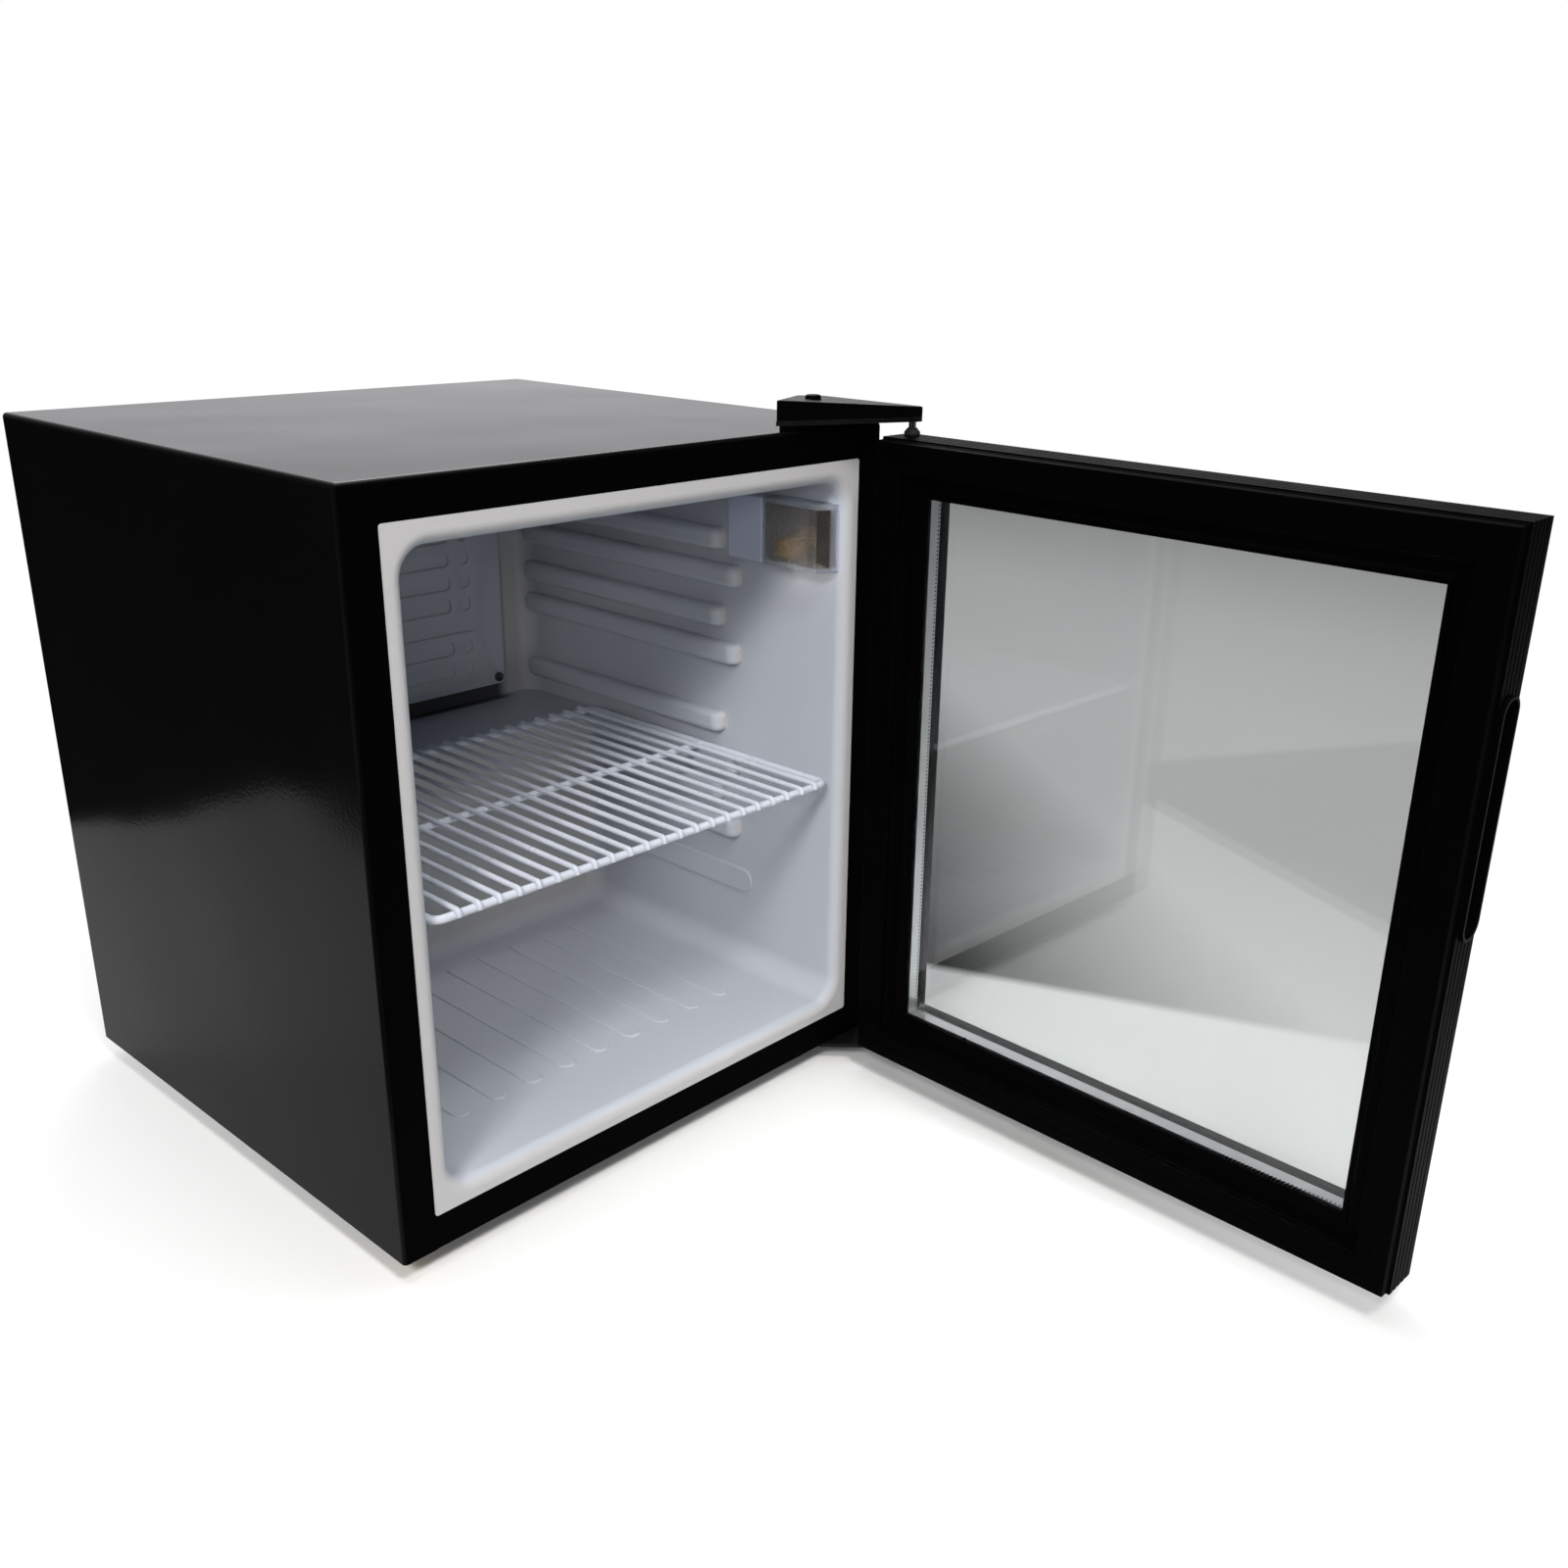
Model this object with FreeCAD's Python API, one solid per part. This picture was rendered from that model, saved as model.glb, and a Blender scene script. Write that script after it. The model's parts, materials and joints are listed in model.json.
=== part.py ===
import FreeCAD, Part
import math
import os
from FreeCAD import Vector as V

# Countertop fridge with a glass door, in millimetres.
# X runs to the fridge's right as seen from the front, Y to its back, Z up.
# The origin lies on the counter, under the middle of the cabinet.

# Cabinet
cab_w = 430.0
cab_d = 410.0
cab_h = 475.0
foot_h = 15.0
sheet = 1.0                 # steel sheet of wrapper, rail, pan and panels
fold_r = 3.0                # outside radius of the wrapper's folds
slip = 0.1                  # gap between pieces that slide into one another
return_side = 30.0          # front return of the wrapper at the sides
return_top = 31.0           # front return of the wrapper at the top
seam_side = 24.0            # side return's width where the bottom rail butts on it
mitre_gap = 0.15
rail_h = 30.5
rail_depth = 27.0
rail_gap = 0.2
rail_fold_r = 0.8
foam_air = 0.5
over = 5.0                  # reach of a cutting shape past the piece that it cuts

# Liner, measured from the cabinet's outside
liner_t = 1.6
wall_side = 37.0
wall_floor = 38.0
wall_top = 38.0
wall_back = 45.0
flange_t = 0.8
flange_r = 2.0
flange_side = 24.0
flange_top = 23.0
flange_bottom = 24.5
mouth_r = 18.0
mouth_flare = 8.0           # radius that rolls the walls out into the flange
collar = 6.5                # thickening of the walls behind the rolled mouth
back_r = 14.0
step_d = 126.0              # from the cabinet's back to the front of the compressor step
step_h = 214.0              # from the cabinet's bottom to the step's top
step_lip_r = 6.0

# Ribs in the liner
rib_h = 16.5
rib_out = 10.0
rib_nose_r = 8.0
rib_edge_r = 5.0
rib_back_gap = 5.0
rib_pair_top = (381.5, 355.0)
rib_pair_upper = (322.3, 294.6)
rib_pair_shelf = (237.5, 204.95)   # carries the shelf
rib_pair_low = (180.0, 152.0)
rib_front_upper = 118.0
rib_front_lower = 101.0
floor_ribs = 9
floor_rib_pitch = 30.5
floor_rib_w = 14.0
floor_rib_r = 6.8
floor_rib_up = 1.2
floor_rib_front = 63.0
floor_rib_back_gap = 29.0
pad_z = 108.0               # long shallow pad low on each side wall
pad_h = 20.0
pad_r = 9.0
pad_up = 1.4
pad_front = 89.0
pad_back_gap = 39.0
soft_r = 0.9                # edges of the shallow pads and floor ribs

# Evaporator plate, hung in front of the back wall
evap_side = 74.0            # from the cabinet's side to the plate's edge
evap_up = 15.0              # above the step
evap_down = 50.0            # below the cabinet's top
evap_off = 12.0             # plate's front to the back wall
evap_t = 1.5
evap_r = 4.0
emboss_up = 1.4
emboss_side = 21.0
emboss_low = 8.0
emboss_gap = 12.0
emboss_r = 14.0
emboss_top = 12.0
low_field_h = 43.0
row_pitch = 18.7            # nearest to this that divides a field evenly
row_edge = 2.8
island_space = 7.2          # channel left between two islands
island_round = 0.78         # corner radius as a share of half the island's height
island_in = 11.0
island_w = 10.5
island_gap = 8.5
standoff_d = 12.0
evap_screw_in = 7.0
evap_screw_up = 6.0
evap_screw_l = 9.0

# Drain from the step to the pan over the compressor
drain_in = 57.0             # from the cabinet's back
drain_d = 15.0
drain_bore = 11.0
drain_gap = 0.3
drain_out = 24.0            # end of the tube under the bay's ceiling

# Lamp on the right wall
lamp_down = 54.0            # below the cabinet's top
lamp_h = 47.5
lamp_front = 4.8
lamp_split = 63.6
lamp_back = 98.6
lamp_out = 17.0
lamp_plate = 1.8
lamp_wall = 1.4
lamp_r = 1.5
lens_slope_y = 6.3
lens_slope_x = 9.0
bulb_d = 13.0
bulb_l = 9.0
bulb_front = 49.2
socket_h = 5.0
socket_x = 12.5
socket_y = 16.0
strip_edge = 3.0
strip_in = 1.8
strip_w = 15.4
strip_t = 3.5

# Wire shelf
shelf_side_gap = 4.0
shelf_front = 4.0
shelf_back_gap = 9.0
shelf_bar = 5.5
shelf_cross = 5.0
shelf_mid = 139.0
shelf_wire = 3.8
shelf_wires = 22
shelf_corner_r = 7.0
shelf_wire_r = 2.8
shelf_lift = 0.1
shelf_tail = 1.0
weld = 1.0                  # depth to which welded wires sink into one another

# Hinge line and door, n inwards from the door's edge, v out from the cabinet's front
hinge_in = 7.0
hinge_out = 33.0
rest_open = 88.5            # door's angle in the rest pose
door_side_gap = 1.0
door_low_gap = 5.0
door_top_gap = 5.0
gasket_gap = 1.2
gasket_v = 10.0
door_v = 39.5
frame_in = 39.5              # reach of the frame's outer lip over the glass
lip_in = 38.0                # reach of its inner lip
frame_edge_r = 1.5
channel_in = 31.2
channel_v0 = 15.8
channel_v1 = 34.2
groove_w = 1.4
groove_t = 0.8
groove_vs = [15.0, 20.5, 26.0, 31.5]
lip_slope_in = 6.0
lip_slope_v = 3.5
lip_slope = 3.3
pane = 4.0
pane_r = 1.5
pane_in_v = 16.0
pane_out_v = 30.0
glass_in = 31.6
seal_out = 31.8
seal_in = 34.5
spacer_in = 38.0
spacer_t = 0.8
gasket_out = 1.0
gasket_in = 24.0
gasket_base = 2.0
bellows_out = 1.6
bellows_in = 22.0
magnet_out = 7.5
magnet_in = 18.0
magnet_v0 = 2.4
magnet_v1 = 5.4
magnet_gap = 0.2
fin_in = 28.0
fin_t = 1.0

# Handle cup in the door's free edge
handle_z = 307.0
handle_l = 141.0
handle_w = 22.0
handle_round = 0.9          # corner radius as a share of half the width
handle_deep = 16.0
handle_wall = 1.8
handle_rim = 2.0
handle_v = 25.0
handle_gap = 0.2

# Hinges
pin_d = 5.0
pin_chamfer = 0.6
pin_play = 0.05             # radial running clearance
bush_d = 8.0
bush_l = 16.0
bush_end = 0.5
bush_rim_d = 11.0
bush_tip_d = 6.4
bush_rim_h = 1.8
bush_cone_h = 2.7
hinge_base = 4.0            # height of the bracket's foot on the cabinet's top
hinge_plate = 3.0
hinge_left = 103.0          # from the cabinet's right side to the bracket's left end
hinge_front = 4.0
hinge_back = 55.0
hinge_tail = 28.0           # width of the bracket at its back
hinge_nose_r = 6.5
hinge_foot_in = 1.5
cover_h = 13.5              # at the left end
cover_drop = 7.0            # fall of the cover's top from left to right
cover_wall = 2.0
cover_r = 1.0
cover_corner_r = 1.5
cap_d = 11.0
cap_h = 3.5
cap_r = 1.7
cap_stem = 5.0
cap_in = 52.0
cap_y = 18.0
low_plate = 3.0
low_left = 48.0
low_front = 2.0
low_back = 55.0
low_tail = 46.0

# Screws
screw_d = 4.0
screw_head_d = 8.0
screw_head_h = 2.5
screw_round = 1.0
screw_slot_l = 4.5
screw_slot_w = 0.8
screw_slot_t = 1.2
screw_play = 0.1
screw_end = 0.5
top_screw_spots = [(70.0, 15.0), (20.0, 28.0), (30.0, 44.0)]
top_screw_l = 22.0
low_screw_spots = [(32.0, 15.0), (14.0, 40.0), (34.0, 42.0)]
low_screw_l = 14.0

# Feet
foot_d = 34.0
foot_r = 2.0
foot_in = 35.0
foot_front = 75.0
foot_rear = 55.0
foot_pad = 8.0
foot_notches = 12
foot_notch_d = 4.0
foot_notch_out = 0.8
foot_neck_d = 16.0
foot_air = 0.3
stud_d = 8.0
stud_l = 28.0
stud_room = 2.0

# Compressor bay, heights from the cabinet's bottom
bay_d = 96.0
bay_h = 185.0
carrier_t = 2.0
comp_x = -10.0
comp_in = 48.0              # compressor's middle from the cabinet's back
comp_w = 124.0
comp_t = 82.0
comp_r = 34.0
comp_low_r = 10.0
comp_dome_r = 20.0
comp_bottom = 8.0
comp_seam = 76.0
comp_top = 135.0
comp_rim = 2.5
comp_rim_h = 4.0
comp_wall = 3.0
pump_d = 66.0
pump_r = 8.0
pump_top = 112.0
port_h = 98.0
strap_z = 14.0
strap_t = 3.0
strap_w = 22.0
strap_r = 10.5
strap_over = 12.0
mount_x = 84.0
mount_y = 28.0
mount_gap = 0.2
grommet_d = 20.0
bolt_head_r = 6.5
bolt_head_h = 5.0
bolt_tail = 2.0
relay_w = 36.0
relay_h = 44.0
relay_t = 46.0
relay_z = 26.0
relay_r = 4.0
pan_w = 120.0
pan_t = 70.0
pan_h = 18.0
pan_wall = 1.5
pan_r = 10.0

# Condenser and lines on the back
cond_off = 17.0             # cabinet's back to the tube's centre line
cond_tube = 5.0
cond_side = 50.0
cond_z0 = 220.0
cond_down = 35.0
cond_runs = 9
cond_trim = 0.01            # straight rest between two bends
wire_d = 1.6
wire_n = 33
wire_edge = 5.0
wire_reach = 8.0
wire_gap = 0.05
clip_in = 15.0
clip_w = 14.0
clip_h = 16.0
clip_foot_h = 38.0
clip_foot_t = 2.5
clip_gap = 0.2
clip_slot = 2.4
clip_screw_up = 13.5
clip_screw_l = 12.0
line_d = 6.0
line_bend = 9.0
line_off = 6.5
line_gap = 0.5
cap_tube_d = 2.5
cap_bend = 5.0
cap_drop = 25.0
cap_beside = 18.0
drier_d = 16.0
drier_l = 75.0
drier_cone = 8.0
drier_neck = 0.5
drier_in = 25.0
suction_in = 95.0
suction_down = 25.0
discharge_x = 20.0
discharge_drop = 20.0
discharge_beside = 21.0
discharge_bend = 8.0

# Control box in the bay
ctrl_w = 92.0
ctrl_d = 53.0
ctrl_in = 3.0               # from the cabinet's right side
ctrl_off = 1.0              # from the cabinet's back
ctrl_z0 = 45.0
ctrl_z1 = 135.0
ctrl_wall = 2.0
ctrl_leg = 12.0
ctrl_axis_z = 95.0
knob_in = 27.0
knob_d = 34.0
knob_h = 15.0
knob_r = 1.5
knob_air = 0.8
knob_skirt = 5.0
knob_grip = 10.0
knob_mark_w = 1.2
knob_mark_t = 1.0
knob_mark_in = 6.0
shaft_d = 6.0
shaft_l = 5.0
rocker_in = 68.0
rocker_w = 12.0
rocker_l = 20.0
rocker_t = 11.0
rocker_back = 3.0
rocker_r = 1.2
rocker_tilt = 8.0
rocker_axis = 4.0           # depth of the rocker's axis under the box's face
rocker_side_gap = 0.5
rocker_end_gap = 1.2
rocker_frame_w = 20.0
rocker_frame_h = 30.0
rocker_frame_t = 6.0
trunnion_d = 3.0
trunnion_l = 2.2
trunnion_end = 0.4
inlet_in = 50.0
inlet_z = 58.0
inlet_d = 16.0
inlet_neck_d = 12.0
inlet_hole = 8.0
inlet_flange = 3.0
inlet_r = 1.0
inlet_neck = 4.0

# Planes that the sizes above are measured from
x_r = cab_w / 2
y_f = -cab_d / 2
y_b = cab_d / 2
z_b = foot_h
z_t = foot_h + cab_h
sheet_x = x_r - sheet - slip
in_x = x_r - wall_side
floor_z = z_b + wall_floor
ceil_z = z_t - wall_top
back_y = y_b - wall_back
lip_y = y_b - step_d
lip_z = z_b + step_h
bay_front = y_b - bay_d
bay_top = z_b + bay_h
hinge_x = x_r - hinge_in
hinge_y = y_f - hinge_out
door_x = x_r - door_side_gap
door_z0 = z_b + door_low_gap
door_z1 = z_t - door_top_gap
plate_z = z_t + hinge_base
cover_z = plate_z + hinge_plate
cover_z1 = cover_z + cover_h
cover_x0 = x_r - hinge_left
cover_x1 = hinge_x + hinge_nose_r
evap_x = x_r - evap_side
evap_z0 = lip_z + evap_up
evap_z1 = z_t - evap_down
evap_front = back_y - evap_off
evap_rear = evap_front + evap_t
lamp_z1 = z_t - lamp_down
lamp_z0 = lamp_z1 - lamp_h
lamp_wall_x = in_x - lamp_plate
comp_y = y_b - comp_in
cond_x = x_r - cond_side
cond_y = y_b + cond_off
cond_pitch = (cab_h - cond_down - cond_z0) / (cond_runs - 1)
wire_pitch = 2 * (cond_x - wire_edge) / (wire_n - 1)
drier_x = drier_in - x_r
suction_x = suction_in - x_r
suction_z = evap_z1 - suction_down
line_y = y_b + line_off
ctrl_x1 = x_r - ctrl_in
ctrl_x0 = ctrl_x1 - ctrl_w
ctrl_y1 = y_b - ctrl_off
ctrl_y0 = ctrl_y1 - ctrl_d
ctrl_z = z_b + ctrl_axis_z
knob_x = ctrl_x0 + knob_in
rocker_x = ctrl_x0 + rocker_in
inlet_x = ctrl_x0 + inlet_in

UP = V(0, 0, 1)
DOWN = V(0, 0, -1)
TO_BACK = V(0, 1, 0)
TO_FRONT = V(0, -1, 0)

os.makedirs("parts", exist_ok=True)


def box(x0, x1, y0, y1, z0, z1):
    return Part.makeBox(x1 - x0, y1 - y0, z1 - z0, V(x0, y0, z0))


def rod(start, end, dia):
    way = end - start
    return Part.makeCylinder(dia / 2, way.Length, start, way)


def join(shapes):
    return shapes[0].multiFuse(shapes[1:]).removeSplitter()


def cut_all(shape, cutters):
    for cutter in cutters:
        shape = shape.cut(cutter)
    return shape


def prism(points, way):
    return Part.Face(Part.makePolygon(points + points[:1])).extrude(way)


def near(a, b):
    return abs(a - b) < 0.01


def edges_where(shape, test):
    return [e for e in shape.Edges if all(test(v.Point) for v in e.Vertexes)]


def edges_along(shape, way):
    return [e for e in shape.Edges if near(abs(e.tangentAt(e.FirstParameter).dot(way)), 1)]


def rims_at(shape, axis, value):
    """Closed edges whose middle lies at a value along an axis."""
    return [e for e in shape.Edges if e.Closed and near(e.CenterOfMass.dot(axis), value)]


def round_box(way, r, x0, x1, y0, y1, z0, z1):
    """A box with its four edges along one way rounded."""
    solid = box(x0, x1, y0, y1, z0, z1)
    return solid.makeFillet(r, edges_along(solid, way))


def path(points, bend):
    """A line through the points with rounded corners."""
    edges = []
    start = points[0]
    for here, after in zip(points[1:-1], points[2:]):
        back = (start - here).normalize()
        ahead = (after - here).normalize()
        half = back.getAngle(ahead) / 2
        a = here + back * (bend / math.tan(half))
        b = here + ahead * (bend / math.tan(half))
        middle = (back + ahead).normalize()
        crown = here + middle * (bend / math.sin(half) - bend)
        edges.append(Part.makeLine(start, a))
        edges.append(Part.Arc(a, crown, b).toShape())
        start = b
    edges.append(Part.makeLine(start, points[-1]))
    return Part.Wire(edges)


def pipe(points, dia, bend):
    ring_wire = Part.Wire(Part.makeCircle(dia / 2, points[0], points[1] - points[0]))
    return path(points, bend).makePipeShell([ring_wire], True, True)


def screw(at, way, length):
    """A pan-head screw: its head stands on the point, its shank goes the way given."""
    out = way * -1
    top = at + out * screw_head_h
    head = Part.makeCylinder(screw_head_d / 2, screw_head_h, at, out)
    head = head.makeFillet(screw_round, rims_at(head, out, top.dot(out)))
    side = V(way.y + way.z, way.x, 0)
    other = way.cross(side)
    for along, across in ((side, other), (other, side)):
        corner = top - along * (screw_slot_l / 2) - across * (screw_slot_w / 2)
        slot = [corner, corner + along * screw_slot_l]
        slot += [slot[1] + across * screw_slot_w, corner + across * screw_slot_w]
        head = head.cut(prism(slot, way * screw_slot_t))
    return join([head, rod(at, at + way * length, screw_d)])


def screw_hole(at, way, length):
    return rod(at - way * over, at + way * (length + screw_end), screw_d + 2 * screw_play)


def screws(spots, way, length):
    return Part.makeCompound([screw(at, way, length) for at in spots])


def screw_holes(spots, way, length):
    return [screw_hole(at, way, length) for at in spots]


def save(name, shape):
    shape.exportStep("parts/" + name + ".step")
    print(name, len(shape.Solids), shape.isValid(), round(shape.Volume))


# Places and clearances shared by several pieces
top_screws = [V(x_r - x, y_f + y, cover_z) for x, y in top_screw_spots]
low_screws = [V(x_r - x, y_f + y, z_b - low_plate) for x, y in low_screw_spots]
top_screw_holes = screw_holes(top_screws, DOWN, top_screw_l)
low_screw_holes = screw_holes(low_screws, UP, low_screw_l)
front_feet = [V(s * (x_r - foot_in), y_f + foot_front, 0) for s in (-1, 1)]
rear_feet = [V(s * (x_r - foot_in), y_b - foot_rear, 0) for s in (-1, 1)]
evap_screw_zs = (evap_z0 + evap_screw_up, evap_z1 - evap_screw_up)
evap_screw_x = evap_x - evap_screw_in
evap_screws = [V(s * evap_screw_x, evap_front, z) for s in (-1, 1) for z in evap_screw_zs]
evap_screw_holes = screw_holes(evap_screws, TO_BACK, evap_screw_l)
clip_zs = (z_b + cond_z0 + cond_pitch, z_b + cond_z0 + cond_pitch * (cond_runs - 2))
clips = [V(s * (cond_x - clip_in), y_b, z) for s in (-1, 1) for z in clip_zs]
clip_screws = [c + V(0, clip_foot_t, s * clip_screw_up) for c in clips for s in (-1, 1)]
clip_screw_holes = screw_holes(clip_screws, TO_FRONT, clip_screw_l)
mounts = [V(comp_x + sx * mount_x, comp_y + sy * mount_y, z_b) for sx in (-1, 1) for sy in (-1, 1)]
mount_holes = [rod(at - UP * over, at + UP * (strap_z + over), stud_d + 2 * mount_gap) for at in mounts]
wall_lines = [(suction_x, line_d), (suction_x + cap_beside, cap_tube_d)]
wall_line_holes = [rod(V(x, evap_rear, suction_z), V(x, y_b + over, suction_z), d + 2 * line_gap)
                   for x, d in wall_lines]
drain_at = V(0, y_b - drain_in, lip_z)
drain_end = V(0, y_b - drain_in, bay_top - drain_out)
drain_hole = rod(drain_at + UP * over, drain_end, drain_d + 2 * drain_gap)


# Cabinet shell
def folded_block(x, y0, y1, z0, z1, r):
    block = box(-x, x, y0, y1, z0, z1)
    edges = [e for e in edges_along(block, TO_BACK) if near(e.CenterOfMass.z, z1)]
    edges += [e for e in edges_along(block, UP) if near(e.CenterOfMass.y, y0)]
    edges += [e for e in block.Edges if near(e.CenterOfMass.y, y0) and near(e.CenterOfMass.z, z1)]
    return block.makeFillet(r, edges)


def outer_wrapper():
    outer = folded_block(x_r, y_f, y_b, z_b, z_t, fold_r)
    inner = folded_block(x_r - sheet, y_f + sheet, y_b + over, z_b - over, z_t - sheet, fold_r - sheet)
    shell = outer.cut(inner)
    mouth_x = x_r - return_side
    front = (y_f - over, y_f + fold_r)
    shell = shell.cut(box(-mouth_x, mouth_x, *front, z_b - over, z_t - return_top))
    seam_x = x_r - seam_side
    shell = shell.cut(box(-seam_x, seam_x, *front, z_b - over, z_b + rail_h + rail_gap))
    for s in (-1, 1):
        slit = box(-mitre_gap / 2, mitre_gap / 2, y_f - over, y_f + sheet + slip, -2 * return_side, -fold_r)
        slit.rotate(V(0, 0, 0), TO_BACK, 45 * s)
        slit.translate(V(s * x_r, 0, z_t))
        shell = shell.cut(slit)
    return cut_all(shell, top_screw_holes)


def front_bottom_rail():
    x = x_r - seam_side - rail_gap
    front = box(-x, x, y_f, y_f + sheet, z_b, z_b + rail_h)
    floor = box(-x, x, y_f, y_f + rail_depth, z_b, z_b + sheet)
    rail = join([front, floor])
    rail = rail.makeFillet(rail_fold_r, edges_where(rail, lambda p: near(p.y, y_f) and near(p.z, z_b)))
    return cut_all(rail, low_screw_holes)


def base_pan():
    pan = box(-sheet_x, sheet_x, y_f + rail_depth + slip, bay_front - slip, z_b, z_b + sheet)
    studs = [rod(at, at + UP * stud_l, stud_d + 2 * pin_play) for at in front_feet]
    return cut_all(pan, studs + low_screw_holes)


def bay_panel():
    wall = box(-sheet_x, sheet_x, bay_front, bay_front + sheet, z_b + carrier_t, bay_top + sheet)
    ceiling = box(-sheet_x, sheet_x, bay_front, y_b - sheet, bay_top, bay_top + sheet)
    return join([wall, ceiling]).cut(drain_hole)


def back_panel():
    panel = box(-sheet_x, sheet_x, y_b - sheet, y_b, bay_top + slip, z_t - sheet - slip)
    return cut_all(panel, wall_line_holes + clip_screw_holes)


# Liner
def liner_block(grow, front):
    """The plain block that the liner's walls enclose, grown by a wall thickness, with its thick mouth."""
    x = in_x + grow
    low = box(-x, x, front, lip_y + grow, floor_z - grow, ceil_z + grow)
    high = box(-x, x, front, back_y + grow, lip_z - grow, ceil_z + grow)
    x = in_x + collar
    mouth = box(-x, x, front, y_f + mouth_flare, floor_z - collar, ceil_z + collar)
    return join([low, high, mouth])


def rounded_room(back):
    """A room with rounded long edges and a rounded back."""
    room = round_box(TO_BACK, mouth_r, -in_x, in_x, y_f - over, back, floor_z, ceil_z)
    return room.makeFillet(back_r, edges_where(room, lambda p: near(p.y, back)))


def step_block():
    """What lies under the upper room: the compressor step with its rounded lip."""
    r = step_lip_r
    low = lip_z - r
    crown = r * (1 - math.sqrt(0.5))
    x = -x_r
    front = y_f - 2 * over
    arc = Part.Arc(V(x, lip_y, low), V(x, lip_y + crown, lip_z - crown), V(x, lip_y + r, lip_z))
    corners = [V(x, lip_y + r, lip_z), V(x, y_b, lip_z), V(x, y_b, 0), V(x, front, 0), V(x, front, low),
               V(x, lip_y, low)]
    outline = [arc.toShape()] + [Part.makeLine(a, b) for a, b in zip(corners, corners[1:])]
    return Part.Face(Part.Wire(outline)).extrude(V(cab_w, 0, 0))


def liner_cavity():
    """The rooms inside the liner, rolled out at the mouth."""
    front = y_f - flange_t
    outside = box(-x_r, x_r, front - over, front, z_b, z_t)
    rooms = join([rounded_room(lip_y), rounded_room(back_y).cut(step_block()), outside])
    mouth = edges_where(rooms, lambda p: near(p.y, front) and abs(p.x) < in_x + slip and p.z < ceil_z + slip)
    return rooms.makeFillet(mouth_flare, mouth)


def side_rib(z, front, back):
    x = in_x - rib_out
    rib = box(x, in_x + liner_t / 2, front, back, z - rib_h / 2, z + rib_h / 2)
    ends = [e for e in edges_along(rib, UP) if near(e.CenterOfMass.x, x)]
    rib = rib.makeFillet(rib_nose_r, ends)
    long_edges = [e for e in edges_along(rib, TO_BACK) if near(e.CenterOfMass.x, x)]
    return rib.makeFillet(rib_edge_r, long_edges)


def wall_pad():
    z = z_b + pad_z
    x = in_x - pad_up
    pad = round_box(V(1, 0, 0), pad_r, x, in_x + liner_t / 2, y_f + pad_front, lip_y - pad_back_gap,
                    z - pad_h / 2, z + pad_h / 2)
    return pad.makeFillet(soft_r, edges_where(pad, lambda p: near(p.x, x)))


def side_ribs():
    ribs = [wall_pad()]
    for upper, lower in (rib_pair_top, rib_pair_upper, rib_pair_shelf, rib_pair_low):
        for z, front in ((upper, rib_front_upper), (lower, rib_front_lower)):
            above_step = z - rib_h / 2 > step_h
            back = (back_y if above_step else lip_y) - rib_back_gap
            ribs.append(side_rib(z_b + z, y_f + front, back))
    return ribs


def floor_rib(i):
    x = (i - (floor_ribs - 1) / 2) * floor_rib_pitch
    z = floor_z + floor_rib_up
    rib = round_box(UP, floor_rib_r, x - floor_rib_w / 2, x + floor_rib_w / 2, y_f + floor_rib_front,
                    lip_y - floor_rib_back_gap, floor_z - liner_t / 2, z)
    return rib.makeFillet(soft_r, edges_where(rib, lambda p: near(p.z, z)))


def inner_liner():
    flange_x = x_r - flange_side
    flange = round_box(TO_BACK, flange_r, -flange_x, flange_x, y_f - flange_t, y_f,
                       z_b + flange_bottom, z_t - flange_top)
    liner = join([liner_block(liner_t, y_f - flange_t), flange]).cut(liner_cavity())
    right = side_ribs()
    left = [rib.mirror(V(0, 0, 0), V(1, 0, 0)) for rib in right]
    liner = join([liner] + right + left + [floor_rib(i) for i in range(floor_ribs)])
    return cut_all(liner, wall_line_holes + [drain_hole])


def insulation_foam():
    x = x_r - sheet - foam_air
    z1 = z_t - sheet - foam_air
    block = folded_block(x, y_f + sheet, y_b - sheet, z_b + sheet, z1, fold_r)
    bay = box(-x_r, x_r, bay_front, y_b, z_b, bay_top + sheet)
    foam = block.cut(bay).cut(liner_block(liner_t, y_f))
    studs = [rod(at, at + UP * (stud_l + stud_room), stud_d + 2 * stud_room) for at in front_feet]
    holes = wall_line_holes + [drain_hole] + top_screw_holes + low_screw_holes + clip_screw_holes
    return cut_all(foam, holes + studs)


# Evaporator and drain
def emboss(z0, z1):
    """A raised field of channels with rows of islands left between them."""
    x = evap_x - emboss_side
    y0 = evap_front - emboss_up
    field = round_box(TO_BACK, emboss_r, -x, x, y0, evap_front, z0, z1)
    x1 = x - island_in
    x0 = x1 - island_w
    room = z1 - z0 - 2 * row_edge
    rows = round(room / row_pitch)
    pitch = room / rows
    height = pitch - island_space
    r = island_round * height / 2
    for row in range(rows):
        low = z0 + row_edge + row * pitch + island_space / 2
        block = (y0 - over, evap_front, low, low + height)
        field = field.cut(round_box(TO_BACK, r, x0, x1, *block))
        field = field.cut(round_box(TO_BACK, r, island_in - x, x0 - island_gap, *block))
    return field


def evaporator_plate():
    plate = round_box(TO_BACK, evap_r, -evap_x, evap_x, evap_front, evap_rear, evap_z0, evap_z1)
    low = evap_z0 + emboss_low
    low_field = emboss(low, low + low_field_h)
    high_field = emboss(low + low_field_h + emboss_gap, evap_z1 - emboss_top)
    return cut_all(join([plate, low_field, high_field]), evap_screw_holes)


def evaporator_standoffs():
    posts = [rod(V(at.x, evap_rear, at.z), V(at.x, back_y, at.z), standoff_d) for at in evap_screws]
    return Part.makeCompound([post.cut(hole) for post, hole in zip(posts, evap_screw_holes)])


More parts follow.
